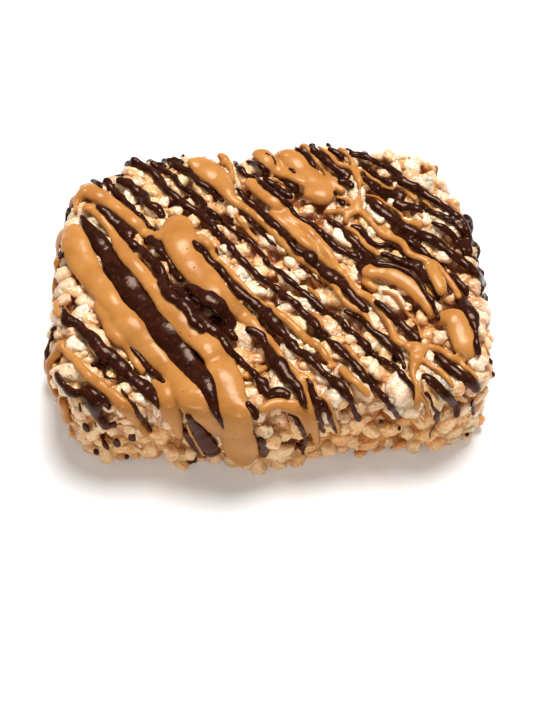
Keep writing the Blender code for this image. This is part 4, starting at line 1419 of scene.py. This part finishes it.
class Shader:
    """Short ways to add nodes to a Principled material."""

    def __init__(self, name):
        self.material = bpy.data.materials.new(name)
        self.material.use_nodes = True
        self.nodes = self.material.node_tree.nodes
        self.links = self.material.node_tree.links
        self.main = self.nodes["Principled BSDF"]
        self.place = self.node("ShaderNodeTexCoord").outputs["Object"]

    def node(self, kind, **settings):
        """A new node of the kind, with its own settings."""
        made = self.nodes.new(kind)
        for key, value in settings.items():
            setattr(made, key, value)
        return made

    def link(self, source, target):
        self.links.new(source, target)

    def noise(self, size_mm, detail=3.0, rough=0.55):
        """Soft clouds from nought to one, of about the given size."""
        made = self.node("ShaderNodeTexNoise")
        made.inputs["Scale"].default_value = 1.0 / (size_mm * MM)
        made.inputs["Detail"].default_value = detail
        made.inputs["Roughness"].default_value = rough
        self.link(self.place, made.inputs["Vector"])
        return made.outputs["Fac"]

    def cells(self, size_mm):
        """The distance from the nearest of many scattered points, in sizes."""
        made = self.node("ShaderNodeTexVoronoi")
        made.inputs["Scale"].default_value = 1.0 / (size_mm * MM)
        self.link(self.place, made.inputs["Vector"])
        return made.outputs["Distance"]

    def grey(self, source, start, end, most):
        """Nought at the start value, rising smoothly to the most at the end value."""
        made = self.node("ShaderNodeMapRange", interpolation_type="SMOOTHSTEP")
        made.inputs["From Min"].default_value = start
        made.inputs["From Max"].default_value = end
        made.inputs["To Max"].default_value = most
        self.link(source, made.inputs["Value"])
        return made.outputs["Result"]

    def scaled(self, source, share):
        made = self.node("ShaderNodeMath", operation="MULTIPLY")
        made.inputs[1].default_value = share
        self.link(source, made.inputs[0])
        return made.outputs[0]

    def ramp(self, source, stops):
        """Colours as light at places between nought and one."""
        made = self.node("ShaderNodeValToRGB")
        band = made.color_ramp
        while len(band.elements) < len(stops):
            band.elements.new(0.5)
        for element, (at, colour) in zip(band.elements, stops):
            element.position = at
            element.color = (*colour, 1.0)
        self.link(source, made.inputs["Fac"])
        return made.outputs["Color"]

    def mix(self, share, first, second, blend="MIX"):
        """The first colour where the share is nought, the second where it is one."""
        made = self.node("ShaderNodeMix", data_type="RGBA", blend_type=blend)
        for place, value in ((0, share), (6, first), (7, second)):
            socket = made.inputs[place]
            if isinstance(value, (tuple, float)):
                socket.default_value = value if isinstance(value, float) else (*value, 1.0)
            else:
                self.link(value, socket)
        return made.outputs[2]

    def bump(self, source, height_mm, strength=1.0, under=None):
        """Small relief from a grey value, over the relief under it."""
        made = self.node("ShaderNodeBump")
        made.inputs["Strength"].default_value = strength
        made.inputs["Distance"].default_value = height_mm * MM
        self.link(source, made.inputs["Height"])
        if under is not None:
            self.link(under, made.inputs["Normal"])
        return made.outputs["Normal"]

    def tones(self, source, stops):
        """Like ramp, with colours as seen."""
        return self.ramp(source, [(at, srgb(*colour)) for at, colour in stops])

    def colour(self, source):
        self.link(source, self.main.inputs["Base Color"])

    def normal(self, source):
        self.link(source, self.main.inputs["Normal"])

    def set(self, **values):
        """Sets the shader's own sockets, named with underscores for spaces."""
        for name, value in values.items():
            self.main.inputs[name.replace("_", " ")].default_value = value


def srgb(r, g, b):
    """A colour as seen, from 0 to 255, as light."""
    def one(v):
        v /= 255
        return v / 12.92 if v <= 0.04045 else ((v + 0.055) / 1.055) ** 2.4
    return one(r), one(g), one(b)


def depth_share(shader, high, low):
    """Nought where the surface stands at the high lift, one where it lies at the low one."""
    lift = shader.node("ShaderNodeAttribute", attribute_name="lift").outputs["Fac"]
    made = shader.node("ShaderNodeMapRange")
    made.inputs["From Min"].default_value = high
    made.inputs["From Max"].default_value = low
    shader.link(lift, made.inputs["Value"])
    return made.outputs["Result"]


def near_top(shader, low=12.0, high=22.0):
    """Nought on the walls below the low height, one above the high one."""
    parts = shader.node("ShaderNodeSeparateXYZ")
    shader.link(shader.place, parts.inputs[0])
    return shader.grey(parts.outputs["Z"], low * MM, high * MM, 1.0)


def crinkled(shader, pits):
    """The bumps of puffed rice: folds, round pits and a fine grain."""
    wide = shader.noise(size_mm=1.3, detail=2.0)
    folds = shader.bump(wide, height_mm=0.8, strength=0.8)
    holes = shader.grey(pits, start=0.08, end=0.3, most=1.0)
    pitted = shader.bump(holes, height_mm=0.3, strength=0.6, under=folds)
    fine = shader.noise(size_mm=0.5, detail=1.0)
    return shader.bump(fine, height_mm=0.12, strength=0.4, under=pitted)


def glaze_and_shade_share(shader):
    """How much of the glazed tone covers a grain: in the dips, where it is glaze and painted shade
    together, and in patches of glaze.
    """
    dips = depth_share(shader, high=0.6, low=-2.4)
    patches = shader.grey(shader.noise(size_mm=6.0, detail=3.0), start=0.5, end=0.7, most=0.62)
    both = shader.node("ShaderNodeMath", operation="ADD", use_clamp=True)
    shader.link(shader.scaled(dips, 0.95), both.inputs[0])
    shader.link(patches, both.inputs[1])
    return both.outputs[0]


def rice_material(name, pale, middle, deep):
    """Puffed rice: a crinkled, pitted skin with amber glaze in its dips, painted shade in the dips
    and pits, and painted warm light on the walls.
    """
    shader = Shader(name)
    tone = shader.node("ShaderNodeAttribute", attribute_name="tone").outputs["Fac"]
    mottle = shader.noise(size_mm=1.6, detail=4.0)
    base = shader.ramp(mottle, ((0.36, pale), (0.6, middle)))
    base = shader.mix(shader.scaled(tone, 0.5), base, pale)
    # Glaze mixed with painted shade in the dips: darker on top than on the walls
    thin = shader.mix(0.55, base, deep)
    glaze_and_shade_tone = shader.mix(near_top(shader), thin, deep)
    base = shader.mix(glaze_and_shade_share(shader), base, glaze_and_shade_tone)
    # Painted warm light: the rice on the walls is tinted warmer than on top
    painted_wall_light = shader.mix(1.0, base, PAINTED_WALL_WARMTH, "MULTIPLY")
    base = shader.mix(near_top(shader), painted_wall_light, base)
    pits = shader.cells(size_mm=1.25)
    # Painted shade in the pits: their middles are darkened towards the glazed tone
    base = shader.mix(shader.grey(pits, start=0.24, end=0.08, most=0.45), base, deep)
    shader.colour(base)
    shader.normal(crinkled(shader, pits))
    shader.set(Roughness=0.26, Specular_IOR_Level=0.4, Coat_Weight=0.45, Coat_Roughness=0.1)
    shader.set(Subsurface_Weight=0.6, Subsurface_Scale=0.002, Subsurface_Radius=RICE_SPREAD)
    return shader.material


def glaze_material():
    """The sticky glaze that fills the gaps between the grains, with painted shade where it lies
    deep.
    """
    shader = Shader("rice_glaze")
    base = shader.tones(shader.noise(size_mm=2.6, detail=4.0), GLAZE_TONES)
    # Painted shade where the glaze lies deep below the form, darker on top than on the walls
    dip = shader.mix(near_top(shader), srgb(*GLAZE_WALL_DIP_SHADE), srgb(*GLAZE_TOP_DIP_SHADE))
    base = shader.mix(depth_share(shader, high=0.2, low=-2.8), base, dip)
    shader.colour(base)
    shader.normal(crinkled(shader, shader.cells(size_mm=1.1)))
    shader.set(Roughness=0.26, Specular_IOR_Level=0.4, Coat_Weight=0.45, Coat_Roughness=0.1)
    shader.set(Subsurface_Weight=0.4, Subsurface_Scale=0.002, Subsurface_Radius=GLAZE_SPREAD)
    return shader.material


def chocolate_material():
    """Set dark chocolate, with paler spots and a soft sheen, and painted light that makes it
    lighter and redder on the walls.
    """
    shader = Shader("dark_chocolate")
    base = shader.tones(shader.noise(size_mm=2.4, detail=5.0), CHOCOLATE_TONES)
    spots = shader.grey(shader.cells(size_mm=1.5), start=0.3, end=0.1, most=0.3)
    base = shader.mix(spots, base, srgb(*CHOCOLATE_SPOT))
    # Painted light: lighter and redder on the walls than on top
    base = shader.mix(near_top(shader, low=17.0, high=27.0), srgb(*CHOCOLATE_WALL_PAINTED_LIGHT), base)
    shader.colour(base)
    soft = shader.bump(shader.noise(size_mm=2.6, detail=2.0), height_mm=0.35, strength=0.45)
    fine = shader.noise(size_mm=0.9, detail=2.0)
    shader.normal(shader.bump(fine, height_mm=0.1, strength=0.5, under=soft))
    shader.set(Roughness=0.19, IOR=1.2, Specular_IOR_Level=1.0, Specular_Tint=CHOCOLATE_SHINE)
    return shader.material


def peanut_material():
    """Peanut butter, smooth and glossy, with a few dark specks."""
    shader = Shader("peanut_butter")
    base = shader.tones(shader.noise(size_mm=7.0, detail=3.0), PEANUT_TONES)
    specks = shader.cells(size_mm=3.4)
    dark = shader.grey(specks, start=0.1, end=0.05, most=0.6)
    shader.colour(shader.mix(dark, base, srgb(*PEANUT_SPECK)))
    soft = shader.bump(shader.noise(size_mm=3.0, detail=2.0), height_mm=0.3, strength=0.35)
    dents = shader.grey(specks, start=0.04, end=0.12, most=1.0)
    shader.normal(shader.bump(dents, height_mm=0.15, strength=0.5, under=soft))
    shader.set(Roughness=0.26, Specular_IOR_Level=0.24, Specular_Tint=PEANUT_SHINE)
    shader.set(Subsurface_Weight=0.3, Subsurface_Scale=0.002, Subsurface_Radius=GLAZE_SPREAD)
    return shader.material


def add_rice(heaps):
    """One piece for each kind of grain."""
    made = []
    for kind, heap in heaps.items():
        mesh = make_mesh(f"rice_{kind}", heap.all_points(), heap.faces)
        for label, values in (("tone", heap.tones), ("lift", heap.lifts)):
            layer = mesh.attributes.new(label, "FLOAT", "POINT")
            layer.data.foreach_set("value", np.concatenate(values).astype(np.float32))
        colours = [srgb(*colour) for colour in RICE_COLOURS[kind]]
        made.append(place_piece(mesh, rice_material(f"rice_{kind}", *colours)))
    return made


def make_floor():
    mesh = bpy.data.meshes.new("floor")
    corners = [(-FLOOR_REACH, -FLOOR_REACH, 0), (FLOOR_REACH, -FLOOR_REACH, 0)]
    corners += [(FLOOR_REACH, FLOOR_REACH, 0), (-FLOOR_REACH, FLOOR_REACH, 0)]
    mesh.from_pydata(corners, [], [(0, 1, 2, 3)])
    paper = Shader("paper")
    paper.set(Roughness=0.8, Base_Color=FLOOR_COLOUR)
    paper.set(Emission_Color=(1.0, 1.0, 1.0, 1.0), Emission_Strength=FLOOR_GLOW)
    mesh.materials.append(paper.material)
    item = bpy.data.objects.new("floor", mesh)
    bpy.context.scene.collection.objects.link(item)


def make_sky():
    world = bpy.data.worlds.new("studio")
    bpy.context.scene.world = world
    world.use_nodes = True
    sky = world.node_tree.nodes["Background"]
    sky.inputs["Color"].default_value = SKY_COLOUR
    sky.inputs["Strength"].default_value = SKY_STRENGTH
    bpy.context.scene.view_settings.view_transform = "Standard"


def area_light(name, place, size, power, colour):
    """A round studio light that shines at the treat."""
    light = bpy.data.lights.new(name, "AREA")
    light.shape = "DISK"
    light.size = size
    light.energy = power
    light.color = colour
    item = bpy.data.objects.new(name, light)
    bpy.context.scene.collection.objects.link(item)
    item.location = place
    item.rotation_mode = "QUATERNION"
    item.rotation_quaternion = (LIGHT_TARGET - Vector(place)).to_track_quat("-Z", "Y")


def make_camera():
    """The camera at the photograph's viewing angle."""
    camera = bpy.data.cameras.new("camera")
    camera.sensor_fit = "AUTO"
    camera.sensor_width = SENSOR
    camera.lens = FOCAL_PIXELS / LONG_SIDE_PIXELS * SENSOR
    camera.clip_start, camera.clip_end = CLIP
    item = bpy.data.objects.new("camera", camera)
    bpy.context.scene.collection.objects.link(item)
    item.location = (np.array(POUR_POINT) - MIDDLE) * MM
    item.rotation_euler = (math.radians(90.0 - CAMERA_PITCH), 0.0, 0.0)
    bpy.context.scene.camera = item


def poured(routes):
    """The rays of all routes that are poured from above."""
    return [list(poured_rays(route)) for route in routes.values()]


def running(runs, draw):
    """The rays of all runs down the walls."""
    return [list(run_rays(x, y, width, low, draw)) for x, y, width, low in runs]


def make_drizzle(layer):
    """The strands, laid in the order in which they were poured."""
    draw = random.Random(SEED + 1)
    peanut_runs = running(PEANUT_RUNS, draw)
    under = lay_all(layer, poured(PEANUT_UNDER) + peanut_runs, draw, **PEANUT_LAY)
    layer.add(under)
    band = lay_all(layer, poured(CHOCOLATE_BAND), draw, **BAND_LAY)
    dark_runs = running(CHOCOLATE_RUNS, draw)
    dark = lay_all(layer, poured(CHOCOLATE) + dark_runs, draw, **DARK_LAY)
    add_drops(layer, dark, draw)
    layer.add(band)
    layer.add(dark)
    over = lay_all(layer, poured(PEANUT_OVER), draw, **OVER_LAY)
    return [band, dark], [under, over]


def make_treat():
    """The grains, the glaze between them and the drizzle on top, in place of the solid."""
    form = block_form()
    core = Heap()
    add_core(form, core)
    heaps = make_grains(form)
    layer = Layer(form, list(heaps.values()))
    dark, peanut = make_drizzle(layer)
    made = add_rice(heaps)
    glaze = melted("rice_glaze", [core, *heaps.values()], GLAZE_VOXEL, GLAZE_RELAX, GLAZE_INSET)
    store_lift(glaze, layer.form)
    chocolate = melted("chocolate", dark, SKIN_VOXEL, DARK_RELAX)
    butter = melted("peanut_butter", peanut, SKIN_VOXEL, PEANUT_RELAX)
    place_piece(glaze, glaze_material())
    place_piece(chocolate, chocolate_material())
    place_piece(butter, peanut_material())
    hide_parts(NODE)


make_camera()
make_floor()
make_sky()
for light_name, light_values in LIGHTS.items():
    area_light(light_name, **light_values)
make_treat()
